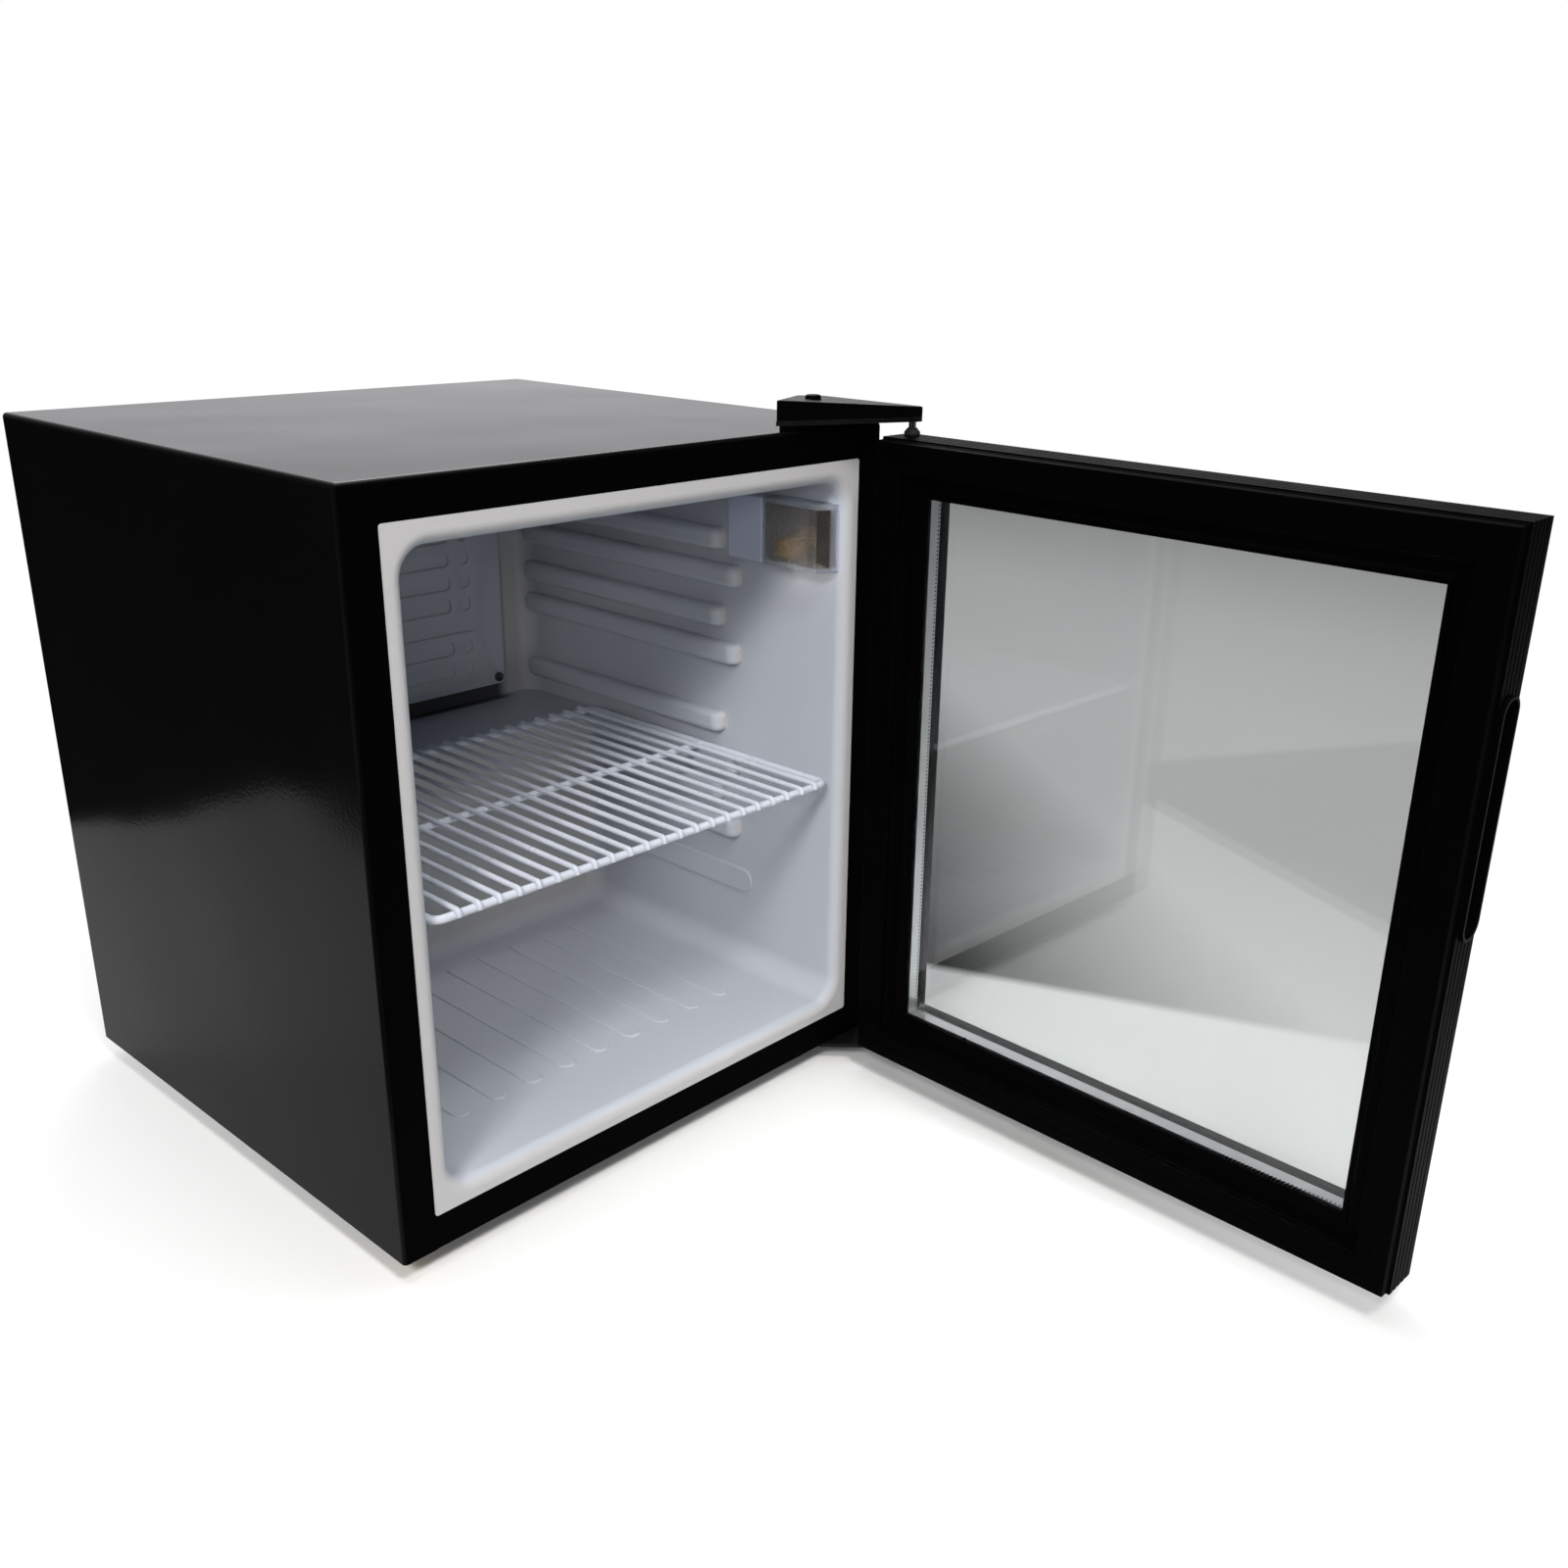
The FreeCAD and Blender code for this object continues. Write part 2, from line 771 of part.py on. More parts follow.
def drain_tube():
    return rod(drain_end, drain_at, drain_d).cut(rod(drain_end - UP * over, drain_at + UP * over, drain_bore))


# Lamp
def lamp_housing():
    x0 = in_x - lamp_out
    y0, y1, y2 = y_f + lamp_front, y_f + lamp_split, y_f + lamp_back
    plate = box(lamp_wall_x, in_x, y0, y2, lamp_z0, lamp_z1)
    blank = box(x0, in_x, y1, y2, lamp_z0, lamp_z1)
    blank = blank.makeFillet(lamp_r, edges_where(blank, lambda p: near(p.x, x0)))
    w = lamp_wall
    room = box(x0 + w, in_x + over, y1 + w, y2 - w, lamp_z0 + w, lamp_z1 - w)
    return join([plate, blank]).cut(room)


def lens_block(inset):
    x0 = in_x - lamp_out + inset
    y0 = y_f + lamp_front + inset
    y1 = y_f + lamp_split - inset
    plan = [(lamp_wall_x, y1), (x0, y1), (x0, y0 + lens_slope_y), (x0 + lens_slope_x, y0), (lamp_wall_x, y0)]
    return prism([V(x, y, lamp_z0 + inset) for x, y in plan], UP * (lamp_h - 2 * inset))


def lamp_lens():
    return lens_block(0).cut(lens_block(lamp_wall))


socket_z = lamp_z0 + lamp_wall + slip
bulb_base = V(lamp_wall_x - bulb_d / 2 - slip, y_f + bulb_front, socket_z + socket_h)


def lamp_holder():
    x = lamp_wall_x
    y = bulb_base.y
    socket = box(x - socket_x, x, y - socket_y / 2, y + socket_y / 2, socket_z, bulb_base.z)
    y = y_f + lamp_front + strip_in
    strip = box(x - strip_t, x, y, y + strip_w, lamp_z0 + strip_edge, lamp_z1 - strip_edge)
    return Part.makeCompound([socket, strip])


def lamp_bulb():
    tip = bulb_base + UP * bulb_l
    return join([rod(bulb_base, tip, bulb_d), Part.makeSphere(bulb_d / 2, tip)])


# Shelf
def wire_shelf():
    z = z_b + rib_pair_shelf[1] + (rib_h + shelf_bar) / 2 + shelf_lift
    x = in_x - shelf_side_gap - shelf_bar / 2
    y0 = y_f + shelf_front + shelf_bar / 2
    y1 = lip_y - shelf_back_gap - shelf_bar / 2
    loop = [V(0, y0, z), V(x, y0, z), V(x, y1, z), V(-x, y1, z), V(-x, y0, z), V(-shelf_tail, y0, z)]
    closing = rod(V(-2 * shelf_tail, y0, z), V(shelf_tail, y0, z), shelf_bar)
    cross = rod(V(-x, y_f + shelf_mid, z), V(x, y_f + shelf_mid, z), shelf_cross)
    pieces = [pipe(loop, shelf_bar, shelf_corner_r), closing, cross]
    wire_off = (shelf_bar + shelf_wire) / 2 - weld
    for i in range(shelf_wires):
        wx = x * (2 * (i + 1) / (shelf_wires + 1) - 1)
        nose = y0 - wire_off
        way = [V(wx, y1 + shelf_tail, z + wire_off), V(wx, nose, z + wire_off), V(wx, nose, z)]
        pieces.append(pipe(way, shelf_wire, shelf_wire_r))
    return join(pieces)


# Door, drawn shut and then turned to its rest angle
def ring(n0, n1, v0, v1):
    """A rectangular ring around the door."""
    outer = box(-door_x + n0, door_x - n0, y_f - v1, y_f - v0, door_z0 + n0, door_z1 - n0)
    inner = box(-door_x + n1, door_x - n1, y_f - v1 - over, y_f - v0 + over, door_z0 + n1, door_z1 - n1)
    return outer.cut(inner)


def opened(shape):
    turned = shape.copy()
    turned.rotate(V(hinge_x, hinge_y, 0), UP, rest_open)
    return turned


bush_spots = [(V(hinge_x, hinge_y, door_z1), DOWN), (V(hinge_x, hinge_y, door_z0), UP)]


def handle_block(grow, deep, rim):
    """The long rounded block of the handle, set into the door's free edge."""
    half_l = handle_l / 2 + grow
    half_w = handle_w / 2 + grow
    y = y_f - handle_v
    z = z_b + handle_z
    return round_box(V(1, 0, 0), half_w * handle_round, -door_x - rim, -door_x + deep,
                     y - half_w, y + half_w, z - half_l, z + half_l)


def door_frame():
    body = ring(0, frame_in, gasket_v, door_v)
    front = edges_where(body, lambda p: near(p.y, y_f - door_v) and near(abs(p.x), door_x))
    body = body.makeFillet(frame_edge_r, front)
    n = lip_in - lip_slope_in
    x = door_x - n
    deep = y_f - gasket_v - lip_slope_v
    slope = box(-x, x, deep, y_f - gasket_v, door_z0 + n, door_z1 - n)
    slope = slope.makeChamfer(lip_slope, edges_where(slope, lambda p: near(p.y, deep)))
    cutters = [slope, ring(lip_in, frame_in + over, gasket_v - over, channel_v1)]
    cutters.append(ring(channel_in, frame_in + over, channel_v0, channel_v1))
    cutters += [ring(-over, groove_t, v - groove_w / 2, v + groove_w / 2) for v in groove_vs]
    for at, way in bush_spots:
        cutters.append(rod(at - way * over, at + way * (bush_l + bush_end), bush_d + 2 * slip))
    cutters.append(handle_block(handle_gap, handle_deep + handle_gap, over))
    return cut_all(body, cutters)


def member(body, side):
    """One frame member with its mitred ends."""
    k = frame_in + over
    x0, x1, z0, z1 = -door_x, door_x, door_z0, door_z1
    outlines = {
        "top": [(x0, z1), (x1, z1), (x1 - k, z1 - k), (x0 + k, z1 - k)],
        "bottom": [(x0, z0), (x1, z0), (x1 - k, z0 + k), (x0 + k, z0 + k)],
        "hinge": [(x1, z0), (x1, z1), (x1 - k, z1 - k), (x1 - k, z0 + k)],
        "handle": [(x0, z0), (x0, z1), (x0 + k, z1 - k), (x0 + k, z0 + k)],
    }
    points = [V(x, y_f, z) for x, z in outlines[side]]
    return body.common(prism(points, TO_FRONT * (2 * door_v)))


def door_gasket():
    base = ring(gasket_out, gasket_in, gasket_v - gasket_base, gasket_v)
    bellows = ring(bellows_out, bellows_in, gasket_gap, gasket_v - gasket_base)
    fin = ring(gasket_in, fin_in, gasket_v - fin_t, gasket_v)
    pocket = ring(magnet_out, bellows_in + over, magnet_v0, magnet_v1)
    return join([base, bellows.cut(pocket), fin])


def gasket_magnets():
    return ring(magnet_out + magnet_gap, magnet_in, magnet_v0 + magnet_gap, magnet_v1 - magnet_gap)


def glass_pane(v):
    x = door_x - glass_in
    return round_box(TO_BACK, pane_r, -x, x, y_f - v - pane, y_f - v, door_z0 + glass_in, door_z1 - glass_in)


def glass_spacer():
    v0 = pane_in_v + pane
    hollow = ring(seal_in - over, spacer_in - spacer_t, v0 + spacer_t, pane_out_v - spacer_t)
    return ring(seal_in, spacer_in, v0, pane_out_v).cut(hollow)


def glass_sealant():
    return ring(seal_out, seal_in, pane_in_v + pane, pane_out_v)


def door_handle():
    room = handle_block(-handle_wall, handle_deep - handle_wall, handle_rim + over)
    return handle_block(0, handle_deep, handle_rim).cut(room)


def hinge_bush(at, way):
    out = way * -1
    sleeve = rod(at, at + way * bush_l, bush_d)
    rim = Part.makeCylinder(bush_rim_d / 2, bush_rim_h, at, out)
    cone = Part.makeCone(bush_rim_d / 2, bush_tip_d / 2, bush_cone_h, at + out * bush_rim_h, out)
    hole = rod(at + out * 2 * over, at + way * (bush_l + over), pin_d + 2 * pin_play)
    return join([sleeve, rim, cone]).cut(hole)


# Hinges
def nose_outline(left, front, back, tail, z):
    """Plan of a hinge plate that narrows to a round nose around the pin."""
    r = hinge_nose_r
    pin = V(hinge_x, hinge_y, z)
    corner = V(x_r - left, y_f + front, z)
    reach = pin - corner
    angle = math.atan2(reach.y, reach.x) - math.asin(r / reach.Length)
    length = math.sqrt(reach.Length ** 2 - r ** 2)
    touch = corner + V(math.cos(angle), math.sin(angle), 0) * length
    half_way = (angle - math.pi / 2) / 2
    tip = pin + V(math.cos(half_way), math.sin(half_way), 0) * r
    side = pin + V(r, 0, 0)
    rear_right = V(side.x, y_f + back, z)
    rear_left = rear_right - V(tail, 0, 0)
    edges = [Part.makeLine(corner, touch), Part.Arc(touch, tip, side).toShape(),
             Part.makeLine(side, rear_right), Part.makeLine(rear_right, rear_left),
             Part.makeLine(rear_left, corner)]
    return Part.Face(Part.Wire(edges))


def pin_hole(z0, z1):
    return rod(V(hinge_x, hinge_y, z0 - over), V(hinge_x, hinge_y, z1 + over), pin_d + 2 * slip)


def hinge_plan(z):
    return nose_outline(hinge_left, hinge_front, hinge_back, hinge_tail, z)


def top_hinge_bracket():
    plate = hinge_plan(plate_z).extrude(UP * hinge_plate)
    foot = hinge_plan(z_t).makeOffset2D(-hinge_foot_in).extrude(UP * hinge_base)
    overhang = box(-x_r, x_r, hinge_y - cab_d, y_f + hinge_front + hinge_foot_in, z_t, plate_z)
    return cut_all(join([plate, foot.cut(overhang)]), top_screw_holes + [pin_hole(plate_z, cover_z)])


def cover_slope(z):
    """Wedge over the cover's top, which falls from left to right."""
    y = hinge_y - cab_d / 2
    points = [V(cover_x0, y, z), V(cover_x1, y, z - cover_drop), V(cover_x1, y, z + cover_h),
              V(cover_x0, y, z + cover_h)]
    return prism(points, TO_BACK * cab_d)


cap_fall = cover_drop * (hinge_left - cap_in + cap_d / 2) / (cover_x1 - cover_x0)
cap_seat = V(x_r - cap_in, y_f + cap_y, cover_z1 - cap_fall)


def top_hinge_cover():
    plan = hinge_plan(cover_z)
    outer = plan.extrude(UP * cover_h)
    corners = [e for e in edges_along(outer, UP) if e.CenterOfMass.y > y_f]
    outer = outer.makeFillet(cover_corner_r, corners).cut(cover_slope(cover_z1))
    rim = [e for e in outer.Edges if e.BoundBox.ZMin > cover_z1 - cover_drop - slip]
    outer = outer.makeFillet(cover_r, rim)
    room = plan.makeOffset2D(-cover_wall).extrude(UP * (cover_h - cover_wall))
    room = room.cut(cover_slope(cover_z1 - cover_wall))
    seat = rod(cap_seat, cap_seat + UP * over, cap_d + 2 * slip)
    hole = rod(cap_seat - UP * cover_h, cap_seat + UP * over, screw_d + 2 * slip)
    return cut_all(outer, [room, seat, hole])


def top_hinge_cap():
    head = Part.makeCylinder(cap_d / 2, cap_h, cap_seat)
    head = head.makeFillet(cap_r, rims_at(head, UP, cap_seat.z + cap_h))
    return join([head, rod(cap_seat - UP * cap_stem, cap_seat + UP * cap_r, screw_d)])


def hinge_pin(z0, z1):
    pin = rod(V(hinge_x, hinge_y, z0), V(hinge_x, hinge_y, z1), pin_d)
    return pin.makeChamfer(pin_chamfer, rims_at(pin, UP, z0) + rims_at(pin, UP, z1))


def bottom_hinge_bracket():
    z0 = z_b - low_plate
    plate = nose_outline(low_left, low_front, low_back, low_tail, z0).extrude(UP * low_plate)
    return cut_all(plate, low_screw_holes + [pin_hole(z0, z_b)])


# Feet
def foot_notch(at, i):
    angle = i * 2 * math.pi / foot_notches
    spot = at + V(math.cos(angle), math.sin(angle), 0) * (foot_d / 2 + foot_notch_out)
    return rod(spot - UP * over, spot + UP * (foot_pad + over), foot_notch_d)


def levelling_foot(at):
    pad = rod(at, at + UP * foot_pad, foot_d)
    pad = pad.makeFillet(foot_r, rims_at(pad, UP, 0) + rims_at(pad, UP, foot_pad))
    pad = cut_all(pad, [foot_notch(at, i) for i in range(foot_notches)])
    neck = rod(at, at + UP * (z_b - foot_air), foot_neck_d)
    return join([pad, neck, rod(at, at + UP * stud_l, stud_d)])


def fixed_foot(at):
    pad = rod(at, at + UP * z_b, foot_d)
    return pad.makeFillet(foot_r, rims_at(pad, UP, 0))


# Compressor
def carrier_plate():
    plate = box(-sheet_x, sheet_x, bay_front, y_b, z_b, z_b + carrier_t)
    return cut_all(plate, mount_holes)


def shell_block(z0, z1, grow):
    x = comp_w / 2 + grow
    y = comp_t / 2 + grow
    return round_box(UP, comp_r + grow, comp_x - x, comp_x + x, comp_y - y, comp_y + y, z_b + z0, z_b + z1)


def foot_strap(s):
    x = mount_x + strap_over
    y = comp_y + s * mount_y
    z = z_b + strap_z
    return round_box(UP, strap_r, comp_x - x, comp_x + x, y - strap_w / 2, y + strap_w / 2, z, z + strap_t)


def lower_block(inset):
    z0 = comp_bottom + inset
    block = shell_block(z0, comp_seam + (over if inset else 0), -inset)
    low = [e for e in block.Edges if near(e.BoundBox.ZMax, z_b + z0)]
    return block.makeFillet(comp_low_r - inset, low)


def upper_block(inset):
    z1 = comp_top - inset
    block = shell_block(comp_seam - (over if inset else 0), z1, -inset)
    high = [e for e in block.Edges if near(e.BoundBox.ZMin, z_b + z1)]
    return block.makeFillet(comp_dome_r - inset, high)


def compressor_lower_shell():
    shell = join([lower_block(0), foot_strap(-1), foot_strap(1)])
    return cut_all(shell, [lower_block(comp_wall)] + mount_holes)


def compressor_upper_shell():
    rim = shell_block(comp_seam, comp_seam + comp_rim_h, comp_rim)
    return join([rim, upper_block(0)]).cut(upper_block(comp_wall))


def compressor_pump():
    z0 = z_b + comp_bottom + comp_wall
    z1 = z_b + pump_top
    pump = rod(V(comp_x, comp_y, z0), V(comp_x, comp_y, z1), pump_d)
    return pump.makeFillet(pump_r, rims_at(pump, UP, z1))


def compressor_grommets():
    rings = [rod(at + UP * carrier_t, at + UP * strap_z, grommet_d) for at in mounts]
    return Part.makeCompound([body.cut(hole) for body, hole in zip(rings, mount_holes)])


def compressor_bolt(at):
    seat = at + UP * (strap_z + strap_t)
    turns = [i * math.pi / 3 for i in range(6)]
    hexagon = [seat + V(math.cos(t), math.sin(t), 0) * bolt_head_r for t in turns]
    return join([prism(hexagon, UP * bolt_head_h), rod(at - UP * bolt_tail, seat, stud_d)])


def relay_cover():
    x = comp_x + comp_w / 2
    z = z_b + relay_z
    y = relay_t / 2
    return round_box(TO_BACK, relay_r, x, x + relay_w, comp_y - y, comp_y + y, z, z + relay_h)


def pan_block(inset, z0, z1):
    x = pan_w / 2 - inset
    y = pan_t / 2 - inset
    return round_box(UP, pan_r - inset, comp_x - x, comp_x + x, comp_y - y, comp_y + y, z0, z1)


def evaporation_pan():
    z = z_b + comp_top
    return pan_block(0, z, z + pan_h).cut(pan_block(pan_wall, z + pan_wall, z + pan_h + over))


# Condenser and lines
def cond_point(x, z):
    return V(x, cond_y, z_b + z)


def condenser_tube():
    points = []
    bend = cond_pitch / 2
    for i in range(cond_runs):
        z = cond_z0 + i * cond_pitch
        run = [cond_point(cond_x + bend, z), cond_point(-cond_x - bend, z)]
        points += run if i % 2 == 0 else run[::-1]
    points[0] = cond_point(cond_x, cond_z0)
    points[-1] = cond_point(drier_x, cond_z0 + cond_pitch * (cond_runs - 1))
    points.append(cond_point(drier_x, cond_z0))
    return pipe(points, cond_tube, bend - cond_trim)


def wire_x(i):
    return (i - (wire_n - 1) / 2) * wire_pitch


def condenser_wires():
    away = TO_BACK * ((cond_tube + wire_d) / 2 + wire_gap)
    z0 = cond_z0 - wire_reach
    z1 = cab_h - cond_down + wire_reach
    wires = []
    for i in range(wire_n):
        low = cond_point(wire_x(i), z0)
        high = cond_point(wire_x(i), z1)
        wires += [rod(low + away, high + away, wire_d), rod(low - away, high - away, wire_d)]
    return Part.makeCompound(wires)


def condenser_clip(at):
    x0, x1 = at.x - clip_w / 2, at.x + clip_w / 2
    y = cond_y
    post = box(x0, x1, y_b, y + cond_tube, at.z - clip_h / 2, at.z + clip_h / 2)
    foot = box(x0, x1, y_b, y_b + clip_foot_t, at.z - clip_foot_h / 2, at.z + clip_foot_h / 2)
    cutters = [rod(V(x0 - over, y, at.z), V(x1 + over, y, at.z), cond_tube + 2 * clip_gap)]
    for i in range(wire_n):
        if abs(wire_x(i) - at.x) < clip_w:
            slot = (wire_x(i) - clip_slot / 2, wire_x(i) + clip_slot / 2)
            cutters.append(box(*slot, y - cond_tube, y + 2 * cond_tube, at.z - clip_h, at.z + clip_h))
    return cut_all(join([post, foot]), cutters + clip_screw_holes)


def filter_drier():
    top = cond_point(drier_x, cond_z0)
    low = top - UP * drier_l
    shoulder = top - UP * drier_cone
    heel = low + UP * drier_cone
    upper = Part.makeCone(drier_d / 2, cond_tube / 2 + drier_neck, drier_cone, shoulder, UP)
    lower = Part.makeCone(drier_d / 2, cap_tube_d / 2 + drier_neck, drier_cone, heel, DOWN)
    return join([rod(shoulder, heel, drier_d), upper, lower])


def capillary_tube():
    start = cond_point(drier_x, cond_z0 - drier_l)
    x = suction_x + cap_beside
    z = start.z - cap_drop
    way = [start, V(start.x, start.y, z), V(x, start.y, z), V(x, line_y, z),
           V(x, line_y, suction_z), V(x, evap_rear, suction_z)]
    return pipe(way, cap_tube_d, cap_bend)


def suction_line():
    port = V(comp_x - comp_w / 2, comp_y, z_b + port_h)
    way = [V(suction_x, evap_rear, suction_z), V(suction_x, line_y, suction_z), V(suction_x, line_y, port.z),
           V(suction_x, port.y, port.z), port]
    return pipe(way, line_d, line_bend)


def discharge_line():
    port = V(discharge_x, comp_y + comp_t / 2, z_b + port_h)
    end = cond_point(cond_x, cond_z0)
    low = end.z - discharge_drop
    x = end.x + discharge_beside
    way = [port, V(port.x, end.y, port.z), V(port.x, end.y, low), V(x, end.y, low), V(x, end.y, end.z), end]
    return pipe(way, cond_tube, discharge_bend)


# Control box
def face_rod(x, z, deep, out, dia):
    """A rod through the control box's rear face."""
    return rod(V(x, ctrl_y1 - deep, z), V(x, ctrl_y1 + out, z), dia)


def control_box():
    x0, x1, y0, y1 = ctrl_x0, ctrl_x1, ctrl_y0, ctrl_y1
    z0, z1 = z_b + ctrl_z0, z_b + ctrl_z1
    w = ctrl_wall
    case = box(x0, x1, y0, y1, z0, z1).cut(box(x0 + w, x1 - w, y0 - over, y1 - w, z0 + w, z1 - w))
    leg = box(x0, x1, y0, y0 + ctrl_leg, z_b + carrier_t, z0)
    fx, fz = rocker_frame_w / 2, rocker_frame_h / 2
    frame = box(rocker_x - fx, rocker_x + fx, y1 - rocker_frame_t, y1, ctrl_z - fz, ctrl_z + fz)
    hx = rocker_w / 2 + rocker_side_gap
    hz = rocker_l / 2 + rocker_end_gap
    mouth = box(rocker_x - hx, rocker_x + hx, y1 - 2 * rocker_frame_t, y1 + over, ctrl_z - hz, ctrl_z + hz)
    ax = rocker_w / 2 + trunnion_l + trunnion_end
    ay = y1 - rocker_axis
    axle = rod(V(rocker_x - ax, ay, ctrl_z), V(rocker_x + ax, ay, ctrl_z), trunnion_d + 2 * pin_play)
    shaft = face_rod(knob_x, ctrl_z, over, over, shaft_d + 2 * pin_play)
    inlet = face_rod(inlet_x, z_b + inlet_z, over, over, inlet_neck_d + 2 * slip)
    return cut_all(join([case, leg, frame]), [mouth, axle, shaft, inlet])


def cord_inlet():
    z = z_b + inlet_z
    flange = face_rod(inlet_x, z, 0, inlet_flange, inlet_d)
    flange = flange.makeFillet(inlet_r, rims_at(flange, TO_BACK, ctrl_y1 + inlet_flange))
    neck = face_rod(inlet_x, z, inlet_neck, inlet_r, inlet_neck_d)
    return join([flange, neck]).cut(face_rod(inlet_x, z, 2 * over, 2 * over, inlet_hole))


def thermostat_knob():
    y0 = ctrl_y1 + knob_air
    y1 = y0 + knob_h
    knob = face_rod(knob_x, ctrl_z, -knob_air, knob_air + knob_h, knob_d)
    knob = knob.makeFillet(knob_r, rims_at(knob, TO_BACK, y1))
    half = knob_grip / 2
    z0, z1 = ctrl_z - knob_d, ctrl_z + knob_d
    right = box(knob_x + half, knob_x + knob_d, y0 + knob_skirt, y1 + over, z0, z1)
    left = box(knob_x - knob_d, knob_x - half, y0 + knob_skirt, y1 + over, z0, z1)
    mx = knob_mark_w / 2
    mark = box(knob_x - mx, knob_x + mx, y1 - knob_mark_t, y1 + over, ctrl_z + knob_mark_in, z1)
    shaft = face_rod(knob_x, ctrl_z, shaft_l, knob_skirt, shaft_d)
    return join([cut_all(knob, [right, left, mark]), shaft])


def lamp_switch():
    y = ctrl_y1 - rocker_axis
    face = y + rocker_t - rocker_back
    half = rocker_w / 2
    paddle = box(rocker_x - half, rocker_x + half, y - rocker_back, face,
                 ctrl_z - rocker_l / 2, ctrl_z + rocker_l / 2)
    paddle = paddle.makeFillet(rocker_r, edges_where(paddle, lambda p: near(p.y, face)))
    reach = half + trunnion_l
    axle = rod(V(rocker_x - reach, y, ctrl_z), V(rocker_x + reach, y, ctrl_z), trunnion_d)
    switch = join([paddle, axle])
    switch.rotate(V(rocker_x, y, ctrl_z), V(1, 0, 0), -rocker_tilt)
    return switch


# Write every piece
save("outer_wrapper", outer_wrapper())
save("front_bottom_rail", front_bottom_rail())
save("base_pan", base_pan())
save("bay_panel", bay_panel())
save("back_panel", back_panel())
save("inner_liner", inner_liner())
save("insulation_foam", insulation_foam())

save("evaporator_plate", evaporator_plate())
save("evaporator_standoffs", evaporator_standoffs())
save("evaporator_screws", screws(evap_screws, TO_BACK, evap_screw_l))
save("drain_tube", drain_tube())

save("lamp_housing", lamp_housing())
save("lamp_lens", lamp_lens())
save("lamp_holder", lamp_holder())
save("lamp_bulb", lamp_bulb())

save("wire_shelf", wire_shelf())

whole_frame = door_frame()
save("door_frame_top", opened(member(whole_frame, "top")))
save("door_frame_bottom", opened(member(whole_frame, "bottom")))
save("door_frame_hinge_side", opened(member(whole_frame, "hinge")))
save("door_frame_handle_side", opened(member(whole_frame, "handle")))
save("door_gasket", opened(door_gasket()))
save("gasket_magnets", opened(gasket_magnets()))
save("glass_inner", opened(glass_pane(pane_in_v)))
save("glass_outer", opened(glass_pane(pane_out_v)))
save("glass_spacer", opened(glass_spacer()))
save("glass_sealant", opened(glass_sealant()))
save("door_handle", opened(door_handle()))
save("hinge_bushes", opened(Part.makeCompound([hinge_bush(at, way) for at, way in bush_spots])))

save("top_hinge_bracket", top_hinge_bracket())
save("top_hinge_cover", top_hinge_cover())
save("top_hinge_cap", top_hinge_cap())
save("top_hinge_pin", hinge_pin(door_z1 - bush_l + slip, cover_z))
save("top_hinge_screws", screws(top_screws, DOWN, top_screw_l))
save("bottom_hinge_bracket", bottom_hinge_bracket())
save("bottom_hinge_pin", hinge_pin(z_b - low_plate, door_z0 + bush_l - slip))
save("bottom_hinge_screws", screws(low_screws, UP, low_screw_l))

save("front_left_foot", levelling_foot(front_feet[0]))
save("front_right_foot", levelling_foot(front_feet[1]))
save("rear_feet", Part.makeCompound([fixed_foot(at) for at in rear_feet]))

save("carrier_plate", carrier_plate())
save("compressor_lower_shell", compressor_lower_shell())
save("compressor_upper_shell", compressor_upper_shell())
save("compressor_pump", compressor_pump())
save("compressor_grommets", compressor_grommets())
save("compressor_bolts", Part.makeCompound([compressor_bolt(at) for at in mounts]))
save("relay_cover", relay_cover())
save("evaporation_pan", evaporation_pan())

save("condenser_tube", condenser_tube())
save("condenser_wires", condenser_wires())
save("condenser_clips", Part.makeCompound([condenser_clip(at) for at in clips]))
save("condenser_screws", screws(clip_screws, TO_FRONT, clip_screw_l))
save("filter_drier", filter_drier())
save("capillary_tube", capillary_tube())
save("suction_line", suction_line())
save("discharge_line", discharge_line())

save("control_box", control_box())
save("cord_inlet", cord_inlet())
save("thermostat_knob", thermostat_knob())
save("lamp_switch", lamp_switch())
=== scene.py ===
# %% [markdown]
# # Dressing a countertop fridge
# The construction model of this fridge already holds every solid: cabinet, liner, door, hinges and
# cooling circuit. Here it gets its looks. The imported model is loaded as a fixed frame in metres, so
# a piece that is modelled here goes exactly where the construction says, and nothing is fitted by eye.
# First come the camera, the floor and the light, then a finish for every material, and then the three
# pieces that are modelled anew because they are soft or finely shaped: gasket, lamp lens, cold plate.

# %% Load the construction model
import json
import math

import bpy
from mathutils import Matrix, Vector


